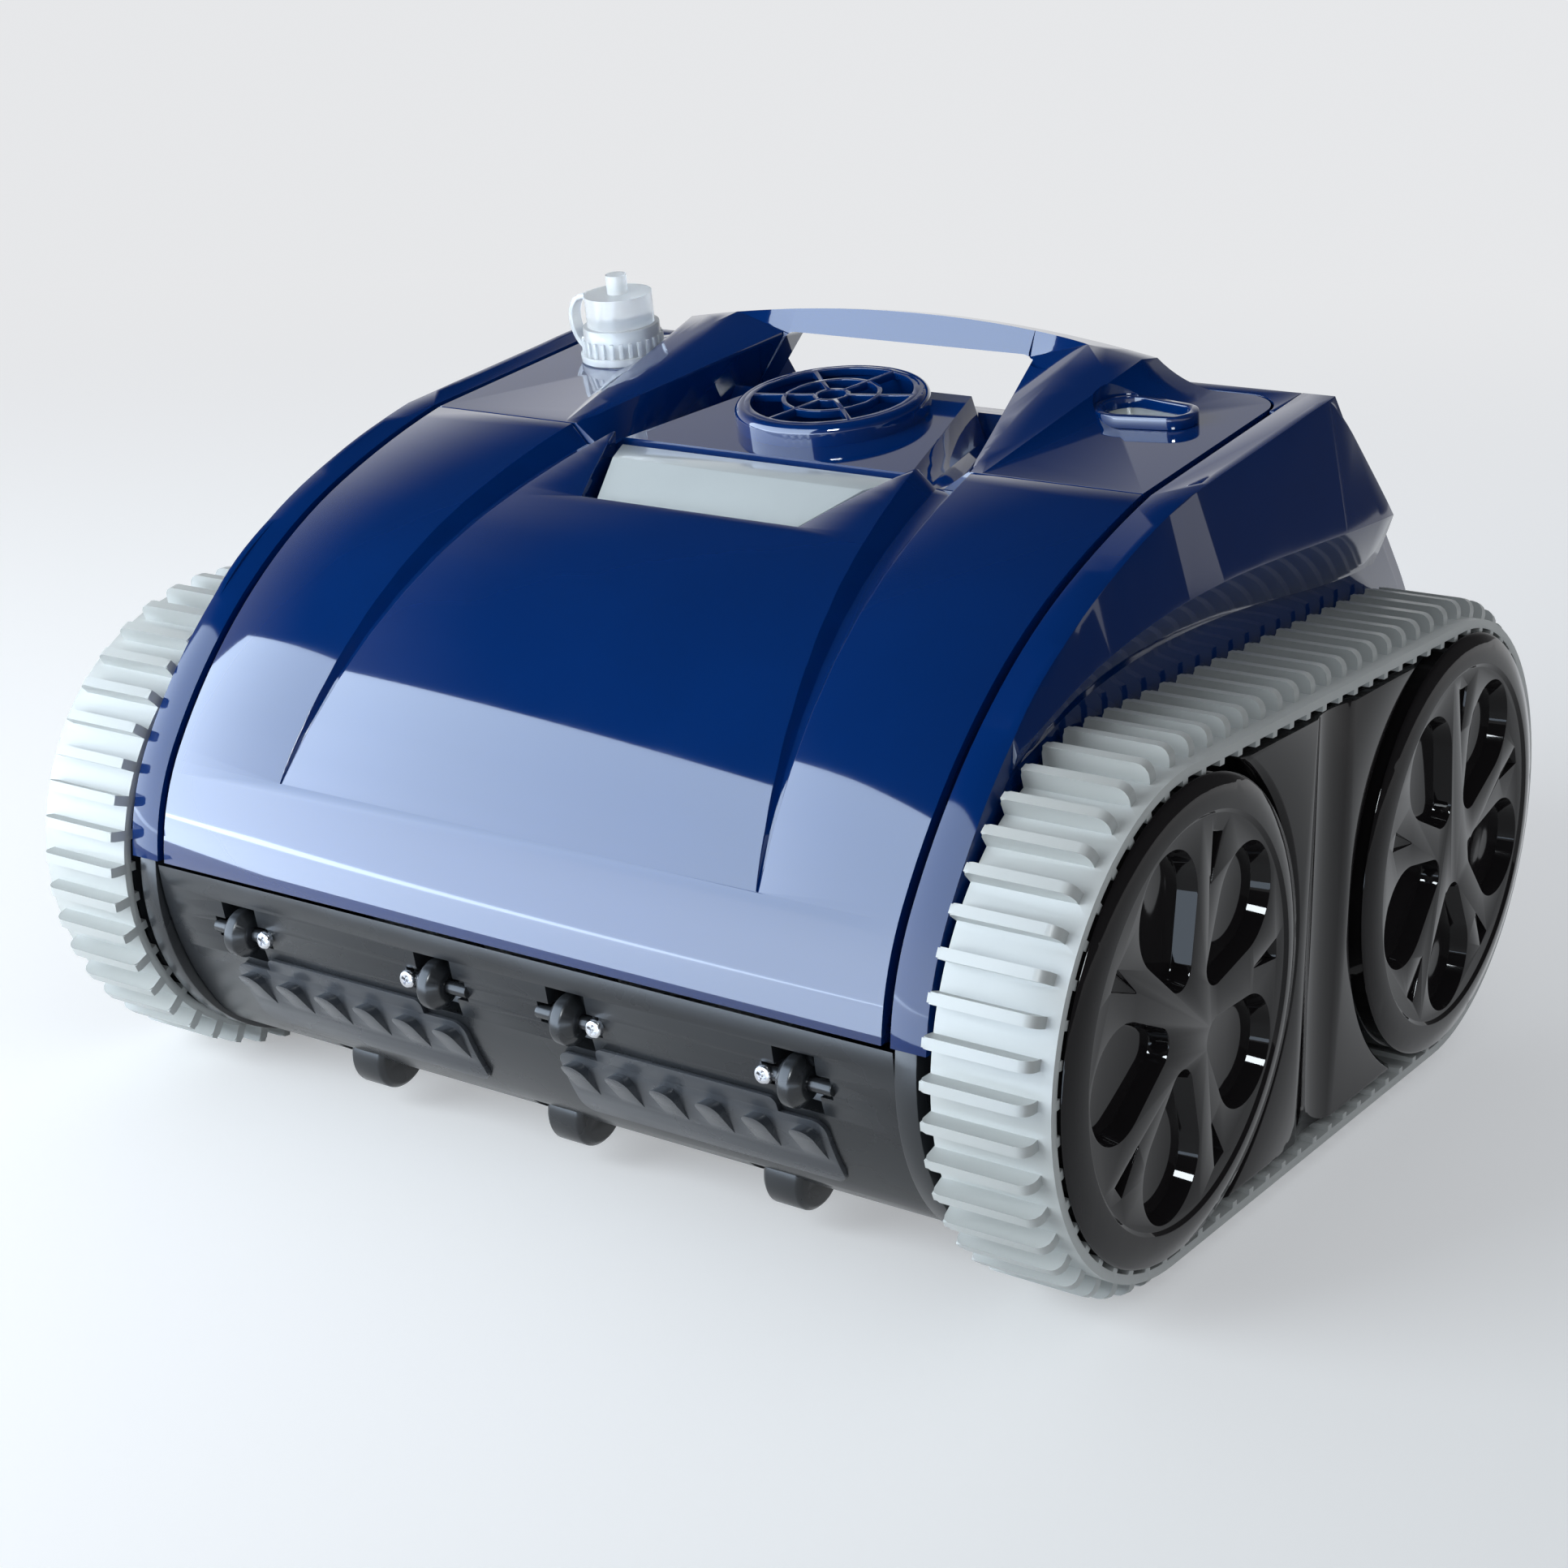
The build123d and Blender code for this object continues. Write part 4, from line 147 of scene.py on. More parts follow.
# A Mix node's sockets by number, because its number and colour sockets share their names.
NUMBER_A, NUMBER_B, NUMBER_OUT = 2, 3, 0
COLOUR_A, COLOUR_B, COLOUR_OUT = 6, 7, 2

Colour = tuple[float, float, float]


class Slot(Enum):
    """The record's material slots that this scene dresses."""

    BLUE = "blue_shell"
    NAVY = "navy_shell"
    BLACK = "black_plastic"
    TRACK = "track_rubber"
    GRAPHITE = "graphite_gloss"
    STEEL = "stainless"
    SILVER = "silver_latch"
    BUTTON = "pale_button"
    CLEAR = "clear_plastic"
    SEAL = "seal_rubber"
    PAD = "pad_rubber"
    MOTOR = "motor_steel"
    NYLON = "gear_nylon"
    BRASS = "contact_brass"
    FILTER = "filter_white"
    CLOTH = "filter_cloth"
    BATTERY = "battery_wrap"
    BRONZE = "bearing_bronze"


# ---------------------------------------------------------------- shader nodes used in several places


def combined(tree: bpy.types.NodeTree, operation: str, first: bpy.types.NodeSocket,
             second: bpy.types.NodeSocket | float) -> bpy.types.NodeSocket:
    """Works one number out from two, with a Math node.

    Args:
        tree: The tree that gets the node.
        operation: Name of the operation.
        first: Socket of the first number.
        second: Socket of the second number, or the number itself.

    Returns:
        The socket of the result.
    """
    node = tree.nodes.new("ShaderNodeMath")
    node.operation = operation
    tree.links.new(first, node.inputs[0])
    if isinstance(second, float):
        node.inputs[1].default_value = second
    else:
        tree.links.new(second, node.inputs[1])
    return node.outputs[0]


def colour_between(tree: bpy.types.NodeTree, share: bpy.types.NodeSocket, first: Colour,
                   second: Colour) -> bpy.types.NodeSocket:
    """Mixes two colours.

    Args:
        tree: The tree that gets the node.
        share: Socket of the second colour's share.
        first: Colour where the share is 0.
        second: Colour where the share is 1.

    Returns:
        The socket of the mixed colour.
    """
    mix = tree.nodes.new("ShaderNodeMix")
    mix.data_type = "RGBA"
    mix.inputs[COLOUR_A].default_value = (*first, 1.0)
    mix.inputs[COLOUR_B].default_value = (*second, 1.0)
    tree.links.new(share, mix.inputs["Factor"])
    return mix.outputs[COLOUR_OUT]


def fade(tree: bpy.types.NodeTree, source: bpy.types.NodeSocket, span: tuple[float, float],
         ends: tuple[float, float]) -> bpy.types.NodeSocket:
    """Steps a number smoothly from one level to another.

    Args:
        tree: The tree that gets the node.
        source: Socket of the number that the step follows.
        span: Values of the source at which the step starts and ends.
        ends: Levels before and after the step.

    Returns:
        The socket of the level.
    """
    step = tree.nodes.new("ShaderNodeMapRange")
    step.interpolation_type = "SMOOTHSTEP"
    step.inputs["From Min"].default_value, step.inputs["From Max"].default_value = span
    step.inputs["To Min"].default_value, step.inputs["To Max"].default_value = ends
    tree.links.new(source, step.inputs["Value"])
    return step.outputs["Result"]


@dataclass(frozen=True)
class SurfaceGroups:
    """Node groups that every finish uses.

    Attributes:
        grain_name: Name of the group for moulded grain.
        tone_name: Name of the group for drift of tone.
        fine_detail: Octaves of the grain's fine noise.
        coarse_detail: Octaves of its coarse noise.
        coarse_scale: Scale of the coarse noise beside the fine one.
        tone_detail: Octaves of the drift's noise.
        tone_span: Values of the drift's noise that become its low and high end.
    """

    grain_name: str = "moulded_grain"
    tone_name: str = "tone_drift"
    fine_detail: float = 3.0
    coarse_detail: float = 1.0
    coarse_scale: float = 0.18
    tone_detail: float = 4.0
    tone_span: tuple[float, float] = (0.3, 0.7)

    def _start(self, name: str, inputs: list[tuple[str, float]], output: str) -> bpy.types.NodeTree:
        """Makes an empty group with named sockets.

        Args:
            name: Name of the group.
            inputs: Float sockets as (name, default).
            output: Name of the float socket that it puts out.

        Returns:
            The new node tree, with its group input and output nodes.
        """
        tree = bpy.data.node_groups.new(name, "ShaderNodeTree")
        for socket, value in inputs:
            made = tree.interface.new_socket(socket, in_out="INPUT", socket_type="NodeSocketFloat")
            made.default_value = value
        tree.interface.new_socket(output, in_out="OUTPUT", socket_type="NodeSocketFloat")
        tree.nodes.new("NodeGroupInput").name = "in"
        tree.nodes.new("NodeGroupOutput").name = "out"
        return tree

    def grain(self) -> bpy.types.NodeTree:
        """Fine moulded grain: a height from two sizes of noise on object coordinates.

        Returns:
            The group, built at the first call.
        """
        if self.grain_name in bpy.data.node_groups:
            return bpy.data.node_groups[self.grain_name]
        tree = self._start(self.grain_name, [("Scale", 400.0), ("Coarse", 0.4)], "Height")
        nodes, links = tree.nodes, tree.links
        scale = nodes["in"].outputs["Scale"]
        place = nodes.new("ShaderNodeTexCoord")
        mix = nodes.new("ShaderNodeMix")
        layers = ((self.fine_detail, scale, NUMBER_A),
                  (self.coarse_detail, combined(tree, "MULTIPLY", scale, self.coarse_scale), NUMBER_B))
        for detail, size, side in layers:
            noise = nodes.new("ShaderNodeTexNoise")
            noise.inputs["Detail"].default_value = detail
            links.new(size, noise.inputs["Scale"])
            links.new(place.outputs["Object"], noise.inputs["Vector"])
            links.new(noise.outputs["Fac"], mix.inputs[side])
        links.new(nodes["in"].outputs["Coarse"], mix.inputs["Factor"])
        links.new(mix.outputs[NUMBER_OUT], nodes["out"].inputs["Height"])
        return tree

    def tone(self) -> bpy.types.NodeTree:
        """Slow drift over a surface, for its colour and its roughness.

        Returns:
            The group, built at the first call.
        """
        if self.tone_name in bpy.data.node_groups:
            return bpy.data.node_groups[self.tone_name]
        tree = self._start(self.tone_name, [("Scale", 14.0), ("Low", 0.0), ("High", 1.0)], "Value")
        nodes, links = tree.nodes, tree.links
        place = nodes.new("ShaderNodeTexCoord")
        noise = nodes.new("ShaderNodeTexNoise")
        noise.inputs["Detail"].default_value = self.tone_detail
        spread = nodes.new("ShaderNodeMapRange")
        spread.inputs["From Min"].default_value, spread.inputs["From Max"].default_value = self.tone_span
        links.new(place.outputs["Object"], noise.inputs["Vector"])
        links.new(nodes["in"].outputs["Scale"], noise.inputs["Scale"])
        links.new(noise.outputs["Fac"], spread.inputs["Value"])
        links.new(nodes["in"].outputs["Low"], spread.inputs["To Min"])
        links.new(nodes["in"].outputs["High"], spread.inputs["To Max"])
        links.new(spread.outputs["Result"], nodes["out"].inputs["Value"])
        return tree


GROUPS = SurfaceGroups()


# ---------------------------------------------------------------- finishes


@dataclass(frozen=True)
class Finish:
    """A surface finish: colour with a slow drift, roughness with a slow drift, and a grain.

    Attributes:
        name: Name of the material.
        colour: Its colour, at the drift's high end.
        shade: Its colour at the drift's low end.
        roughness: Roughness at the drift's low and high end.
        grain_scale: Scale of the grain's noise.
        grain_depth: Depth of the grain, in metres.
        grain_coarse: Share of the coarse noise in the grain.
        drift_scale: Scale of the colour's drift.
        polish_pace: Scale of the roughness's drift beside the colour's.
        metallic: 1 for bare metal.
        coat: Weight of the clear coat.
        coat_roughness: Roughness of the clear coat.
        specular: Level of the gloss under the coat.
        ior: Index of refraction.
        transmission: Share of light that passes through.
        sheen: Weight of a cloth's sheen.
    """

    name: str
    colour: Colour
    shade: Colour
    roughness: tuple[float, float]
    grain_scale: float
    grain_depth: float
    grain_coarse: float = 0.4
    drift_scale: float = 14.0
    polish_pace: float = 2.3
    metallic: float = 0.0
    coat: float = 0.0
    coat_roughness: float = 0.05
    specular: float = 0.5
    ior: float = 1.5
    transmission: float = 0.0
    sheen: float = 0.0

    def material(self) -> bpy.types.Material:
        """Turns the finish into a material.

        Returns:
            The material, built at the first call.
        """
        if self.name in bpy.data.materials:
            return bpy.data.materials[self.name]
        made = bpy.data.materials.new(self.name)
        made.use_nodes = True
        tree = made.node_tree
        nodes, links = tree.nodes, tree.links
        shader = nodes["Principled BSDF"]
        shader.inputs["Metallic"].default_value = self.metallic
        shader.inputs["Coat Weight"].default_value = self.coat
        shader.inputs["Coat Roughness"].default_value = self.coat_roughness
        shader.inputs["Specular IOR Level"].default_value = self.specular
        shader.inputs["IOR"].default_value = self.ior
        shader.inputs["Transmission Weight"].default_value = self.transmission
        shader.inputs["Sheen Weight"].default_value = self.sheen
        low, high = self.roughness
        tone = self._group(tree, GROUPS.tone(), {"Scale": self.drift_scale})
        polish = self._group(tree, GROUPS.tone(),
                             {"Scale": self.drift_scale * self.polish_pace, "Low": low, "High": high})
        grain = self._group(tree, GROUPS.grain(), {"Scale": self.grain_scale, "Coarse": self.grain_coarse})
        bump = nodes.new("ShaderNodeBump")
        bump.inputs["Distance"].default_value = self.grain_depth
        base = colour_between(tree, tone.outputs["Value"], self.shade, self.colour)
        links.new(base, shader.inputs["Base Color"])
        links.new(polish.outputs["Value"], shader.inputs["Roughness"])
        links.new(grain.outputs["Height"], bump.inputs["Height"])
        links.new(bump.outputs["Normal"], shader.inputs["Normal"])
        return made

    @staticmethod
    def _group(tree: bpy.types.NodeTree, shared: bpy.types.NodeTree,
               values: dict[str, float]) -> bpy.types.Node:
        """Places a shared group in a material with its own values.

        Args:
            tree: The material's tree.
            shared: The group.
            values: Value of each input, by its name.

        Returns:
            The group's node.
        """
        node = tree.nodes.new("ShaderNodeGroup")
        node.node_tree = shared
        for socket, value in values.items():
            node.inputs[socket].default_value = value
        return node


FINISHES: dict[Slot, Finish] = {
    Slot.BLUE: Finish(
        "deep_blue_gloss", (0.0004, 0.025, 0.145), (0.0003, 0.022, 0.128), (0.05, 0.08), grain_scale=260.0,
        grain_depth=4e-6, coat=1.0, coat_roughness=0.02),
    Slot.NAVY: Finish(
        "deep_blue_side", (0.0004, 0.023, 0.132), (0.0003, 0.020, 0.118), (0.06, 0.10), grain_scale=260.0,
        grain_depth=4e-6, coat=0.3, coat_roughness=0.04, specular=0.3),
    Slot.BLACK: Finish(
        "black_moulding", (0.021, 0.023, 0.026), (0.016, 0.018, 0.021), (0.24, 0.32), grain_scale=900.0,
        grain_depth=2e-5),
    Slot.TRACK: Finish(
        "pale_track_rubber", (0.54, 0.565, 0.56), (0.50, 0.525, 0.52), (0.34, 0.44), grain_scale=700.0,
        grain_depth=2e-5),
    Slot.GRAPHITE: Finish(
        "graphite_moulding", (0.015, 0.0135, 0.0145), (0.012, 0.0108, 0.0116), (0.03, 0.05),
        grain_scale=240.0, grain_depth=4e-6, ior=1.3),
    Slot.STEEL: Finish(
        "stainless_steel", (0.62, 0.62, 0.63), (0.55, 0.55, 0.57), (0.16, 0.28), grain_scale=500.0,
        grain_depth=1e-5, metallic=1.0),
    Slot.SILVER: Finish(
        "satin_silver", (0.62, 0.69, 0.72), (0.57, 0.635, 0.665), (0.16, 0.24), grain_scale=500.0,
        grain_depth=1e-5, coat=0.6, coat_roughness=0.03),
    Slot.BUTTON: Finish(
        "pale_grey_cap", (0.50, 0.54, 0.51), (0.46, 0.50, 0.47), (0.34, 0.42), grain_scale=600.0,
        grain_depth=2e-5),
    Slot.CLEAR: Finish(
        "clear_cap", (0.97, 0.985, 0.99), (0.94, 0.965, 0.975), (0.04, 0.08), grain_scale=300.0,
        grain_depth=6e-6, transmission=0.58, ior=1.46),
    Slot.SEAL: Finish(
        "black_rubber", (0.010, 0.010, 0.010), (0.007, 0.007, 0.007), (0.5, 0.62), grain_scale=800.0,
        grain_depth=4e-5),
    Slot.PAD: Finish(
        "black_pad", (0.050, 0.056, 0.066), (0.042, 0.047, 0.056), (0.24, 0.34), grain_scale=800.0,
        grain_depth=3e-5),
    Slot.MOTOR: Finish(
        "zinc_plate", (0.42, 0.43, 0.44), (0.36, 0.37, 0.39), (0.28, 0.42), grain_scale=500.0,
        grain_depth=2e-5, metallic=1.0),
    Slot.NYLON: Finish(
        "nylon_gear", (0.62, 0.60, 0.52), (0.56, 0.54, 0.46), (0.42, 0.52), grain_scale=600.0,
        grain_depth=3e-5),
    Slot.BRASS: Finish(
        "gold_contact", (0.72, 0.50, 0.20), (0.66, 0.45, 0.18), (0.2, 0.3), grain_scale=500.0,
        grain_depth=1e-5, metallic=1.0),
    Slot.FILTER: Finish(
        "filter_frame", (0.56, 0.58, 0.59), (0.50, 0.52, 0.53), (0.4, 0.5), grain_scale=600.0,
        grain_depth=3e-5),
    Slot.CLOTH: Finish(
        "filter_weave", (0.32, 0.36, 0.38), (0.26, 0.30, 0.32), (0.75, 0.9), grain_scale=1500.0,
        grain_depth=1.2e-4, sheen=0.2),
    Slot.BATTERY: Finish(
        "battery_sleeve", (0.015, 0.10, 0.12), (0.012, 0.08, 0.10), (0.25, 0.35), grain_scale=300.0,
        grain_depth=2e-5),
    Slot.BRONZE: Finish(
        "sintered_bronze", (0.38, 0.24, 0.12), (0.32, 0.20, 0.10), (0.38, 0.5), grain_scale=900.0,
        grain_depth=3e-5, metallic=1.0),
}

# Nodes that look better in another slot's finish than in their own.
DRESSED_AS: dict[str, Slot] = {
    "charge_socket": Slot.CLEAR,
    "cap_tether": Slot.CLEAR,
    "roller_pins": Slot.BLACK,
    "roller_right_outer": Slot.BLACK,
    "roller_right_inner": Slot.BLACK,
    "roller_left_inner": Slot.BLACK,
    "roller_left_outer": Slot.BLACK,
}


def dress(piece: bpy.types.Object, slot: Slot) -> None:
    """Gives a piece a finish and names the record's slot for it.

    Args:
        piece: The object to dress.
        slot: The slot whose finish it takes.
    """
    material = FINISHES[slot].material()
    piece.data.materials.clear()
    piece.data.materials.append(material)
    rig.slot(piece, slot.value)


def select_only(piece: bpy.types.Object) -> None:
    """Selects one object alone and makes it active.

    Args:
        piece: The object.
    """
    for other in bpy.context.selected_objects:
        other.select_set(False)
    piece.select_set(True)
    bpy.context.view_layer.objects.active = piece


# ---------------------------------------------------------------- the frame and its rounded copies


@dataclass
class Frame:
    """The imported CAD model, and the finer copies that stand for its nodes.

    Attributes:
        radius: Edge radius of a moulded piece, in metres.
        steps: Steps across each rounded edge.
        crease: Angle above which an edge is rounded, in degrees.
        flat: Angle below which neighbouring faces become one, in degrees.
    """

    loaded: dict = field(default_factory=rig.load)
    radius: float = 0.6 * MM
    steps: int = 2
    crease: float = 32.0
    flat: float = 0.6

    def slot_of(self, node: str) -> Slot:
        """Finds the slot whose finish a node takes: its own in the record, or another that suits it better.

        Args:
            node: Name of the CAD node.

        Returns:
            The slot.
        """
        if node in DRESSED_AS:
            return DRESSED_AS[node]
        for entry in self.loaded["record"]["subparts"]:
            if entry["node"] == node:
                return Slot(entry["material_slot"])
        raise KeyError(node)

    def body_of(self, node: str) -> str:
        """Finds the body that a node rides on.

        Args:
            node: Name of the CAD node.

        Returns:
            Name of the body.
        """
        for body, members in self.loaded["record"]["behaviour"]["bodies"].items():
            if node in members:
                return body
        raise KeyError(node)

    def rounded(self, node: str, radius: float | None = None) -> None:
        """Stands a merged copy with rounded edges in a node's place, dressed and riding on the node's body.

        Args:
            node: Name of the CAD node.
            radius: Edge radius in metres, or None for the usual one.
        """
        source = self.loaded["nodes"][node]
        piece = bpy.data.objects.new(f"{node}_finished", source.data.copy())
        bpy.context.scene.collection.objects.link(piece)
        select_only(piece)
        bpy.ops.mesh.customdata_custom_splitnormals_clear()
        bpy.ops.object.mode_set(mode="EDIT")
        bpy.ops.mesh.select_all(action="SELECT")
        bpy.ops.mesh.remove_doubles(threshold=TOUCHING)
        bpy.ops.mesh.dissolve_limited(angle_limit=math.radians(self.flat))
        bpy.ops.object.mode_set(mode="OBJECT")
        edge = piece.modifiers.new("edge_radius", "BEVEL")
        edge.width = self.radius if radius is None else radius
        edge.segments = self.steps
        edge.limit_method = "ANGLE"
        edge.angle_limit = math.radians(self.crease)
        edge.miter_outer = "MITER_ARC"
        bpy.ops.object.modifier_apply(modifier=edge.name)
        bpy.ops.object.shade_smooth_by_angle(angle=math.radians(self.crease))
        dress(piece, self.slot_of(node))
        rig.ride(piece, self.body_of(node))
        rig.replaces(piece, node)

    def keep(self, node: str) -> None:
        """Leaves a node's shape as it is, with its finish."""
        dress(self.loaded["nodes"][node], self.slot_of(node))


# ---------------------------------------------------------------- pieces modelled here


def select_faces(piece: bpy.types.Object, wanted: Callable[[bpy.types.MeshPolygon], bool]) -> None:
    """Selects the faces of a piece that pass a test, from object mode.

    Args:
        piece: The object, alone and active.
        wanted: Test on a face.
    """
    for vertex in piece.data.vertices:
        vertex.select = False
    for edge in piece.data.edges:
        edge.select = False
    for face in piece.data.polygons:
        face.select = wanted(face)


def joined(pieces: list[bpy.types.Object], name: str) -> bpy.types.Object:
    """Joins pieces into one object.

    Args:
        pieces: The pieces, the first of which takes in the others.
        name: Name of the whole.

    Returns:
        The whole.
    """
    select_only(pieces[0])
    for other in pieces[1:]:
        other.select_set(True)
    bpy.ops.object.join()
    whole = bpy.context.active_object
    whole.name = name
    return whole


def copied(piece: bpy.types.Object, placing: Matrix) -> bpy.types.Object:
    """Copies a piece with a mesh of its own.

    Args:
        piece: The object to copy.
        placing: Matrix that moves the copy's mesh.

    Returns:
        The copy.
    """
    twin = piece.copy()
    twin.data = piece.data.copy()
    twin.data.transform(placing)
    bpy.context.scene.collection.objects.link(twin)
    return twin


def finished(piece: bpy.types.Object, slot: Slot, body: str) -> None:
    """Smooths, dresses and seats a modelled piece on its body.

    Args:
        piece: The object.
        slot: The slot whose finish it takes.
        body: Name of the body.
    """
    select_only(piece)
    bpy.ops.object.transform_apply(location=True, rotation=True, scale=True)
    bpy.ops.object.shade_smooth_by_angle(angle=math.radians(SHARP_ANGLE))
    dress(piece, slot)
    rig.ride(piece, body)


@dataclass
class Paddles:
    """The round-cornered paddles of both tracks, copied round each belt's path.

    Attributes:
        frame: The loaded frame.
        per_end: Paddles round each wheel.
        per_run: Paddles on each straight run.
        height: Height of a paddle, with its foot in the band, in metres.
        thickness: Thickness at the rim, in metres.
        setback: From the belt's outer edge to the paddle, in metres.
        corner: Radius of the outer top corner, in metres; the inner one has half of it.
        outer_steps: Steps across the outer corner.
        inner_steps: Steps across the inner corner.
        rim: Width of the raised rim, in metres.
        hollow: Depth of the face inside the rim, as a share of the thickness.
        cover: How far each paddle stands proud of the CAD one, in metres.
    """

    frame: Frame
    per_end: int = 21
    per_run: int = 17
    height: float = 7.8 * MM
    thickness: float = 4.0 * MM
    setback: float = 5.0 * MM
    corner: float = 4.6 * MM
    outer_steps: int = 4
    inner_steps: int = 2
    rim: float = 1.1 * MM
    hollow: float = 0.07
    cover: float = 0.15 * MM

    def blade(self, length: float) -> bpy.types.Object:
        """Models one paddle lying along X from the belt's inner edge, with its foot at the origin's height.

        Args:
            length: Its length across the belt, in metres.

        Returns:
            The paddle, at the origin.
        """
        bpy.ops.object.select_all(action="DESELECT")
        bpy.ops.mesh.primitive_cube_add(size=1.0, location=(length / 2, 0.0, self.height / 2))
        blade = bpy.context.active_object
        blade.scale = (length, self.thickness, self.height)
        bpy.ops.object.transform_apply(location=True, rotation=True, scale=True)
        self._round_corner(blade, length, self.corner, self.outer_steps)
        self._round_corner(blade, 0.0, self.corner / 2, self.inner_steps)
        select_faces(blade, lambda face: abs(face.normal.y) > SQUARE_ON)
        bpy.ops.object.mode_set(mode="EDIT")
        bpy.ops.mesh.inset(thickness=self.rim, depth=-self.hollow * self.thickness)
        bpy.ops.object.mode_set(mode="OBJECT")
        return blade

    def _round_corner(self, blade: bpy.types.Object, at: float, radius: float, steps: int) -> None:
        """Rounds the top corner of a paddle at one end.

        Args:
            blade: The paddle, alone and active.
            at: Place of the end along X, in metres.
            radius: Radius of the corner, in metres.
            steps: Steps across it.
        """
        select_faces(blade, lambda face: False)
        for edge in blade.data.edges:
            ends = [blade.data.vertices[index].co for index in edge.vertices]
            edge.select = all(max(abs(end.x - at), abs(end.z - self.height)) < TOUCHING for end in ends)
        bpy.ops.object.mode_set(mode="EDIT")
        bpy.context.tool_settings.mesh_select_mode = (False, True, False)
        bpy.ops.mesh.bevel(offset=radius, segments=steps)
        bpy.context.tool_settings.mesh_select_mode = (False, False, True)
        bpy.ops.object.mode_set(mode="OBJECT")

    def places(self, half_base: float) -> list[tuple[float, float]]:
        """Finds the paddles' places round a belt's path.

        Args:
            half_base: Half the distance between the axles, in metres.

        Returns:
            For each paddle, the y of the centre that it is struck from and its outward angle in radians.
        """
        found = []
        for turn in range(self.per_end):
            angle = math.pi * (turn + 0.5) / self.per_end
            found += [(half_base, angle - math.pi / 2), (-half_base, angle + math.pi / 2)]
        for step in range(self.per_run):
            y = half_base * (2.0 * (step + 0.5) / self.per_run - 1.0)
            found += [(y, math.pi / 2), (y, -math.pi / 2)]
        return found

    def build(self) -> None:
        """Builds the left track's paddles and turns a copy of them about the vertical for the right."""
        low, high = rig.box("left_belt")
        tip = (high.z - low.z) / 2
        axle_z = (high.z + low.z) / 2
        blade = self.blade(high.x - low.x - self.setback + 2 * self.cover)
        stem = Matrix.Translation((0.0, 0.0, tip - self.height + self.cover))
        copies = []
        for y, angle in self.places(high.y - tip):
            centre = Matrix.Translation((low.x - self.cover, y, axle_z))
            copies.append(copied(blade, centre @ Matrix.Rotation(angle - math.pi / 2, 4, "X") @ stem))
        bpy.data.objects.remove(blade)
        left = joined(copies, "left_paddles")
        right = copied(left, Matrix.Rotation(math.pi, 4, "Z"))
        right.name = "right_paddles"
        for piece, belt in ((left, "left_belt"), (right, "right_belt")):
            finished(piece, Slot.TRACK, self.frame.body_of(belt))
            LOG.info("%s built", piece.name)


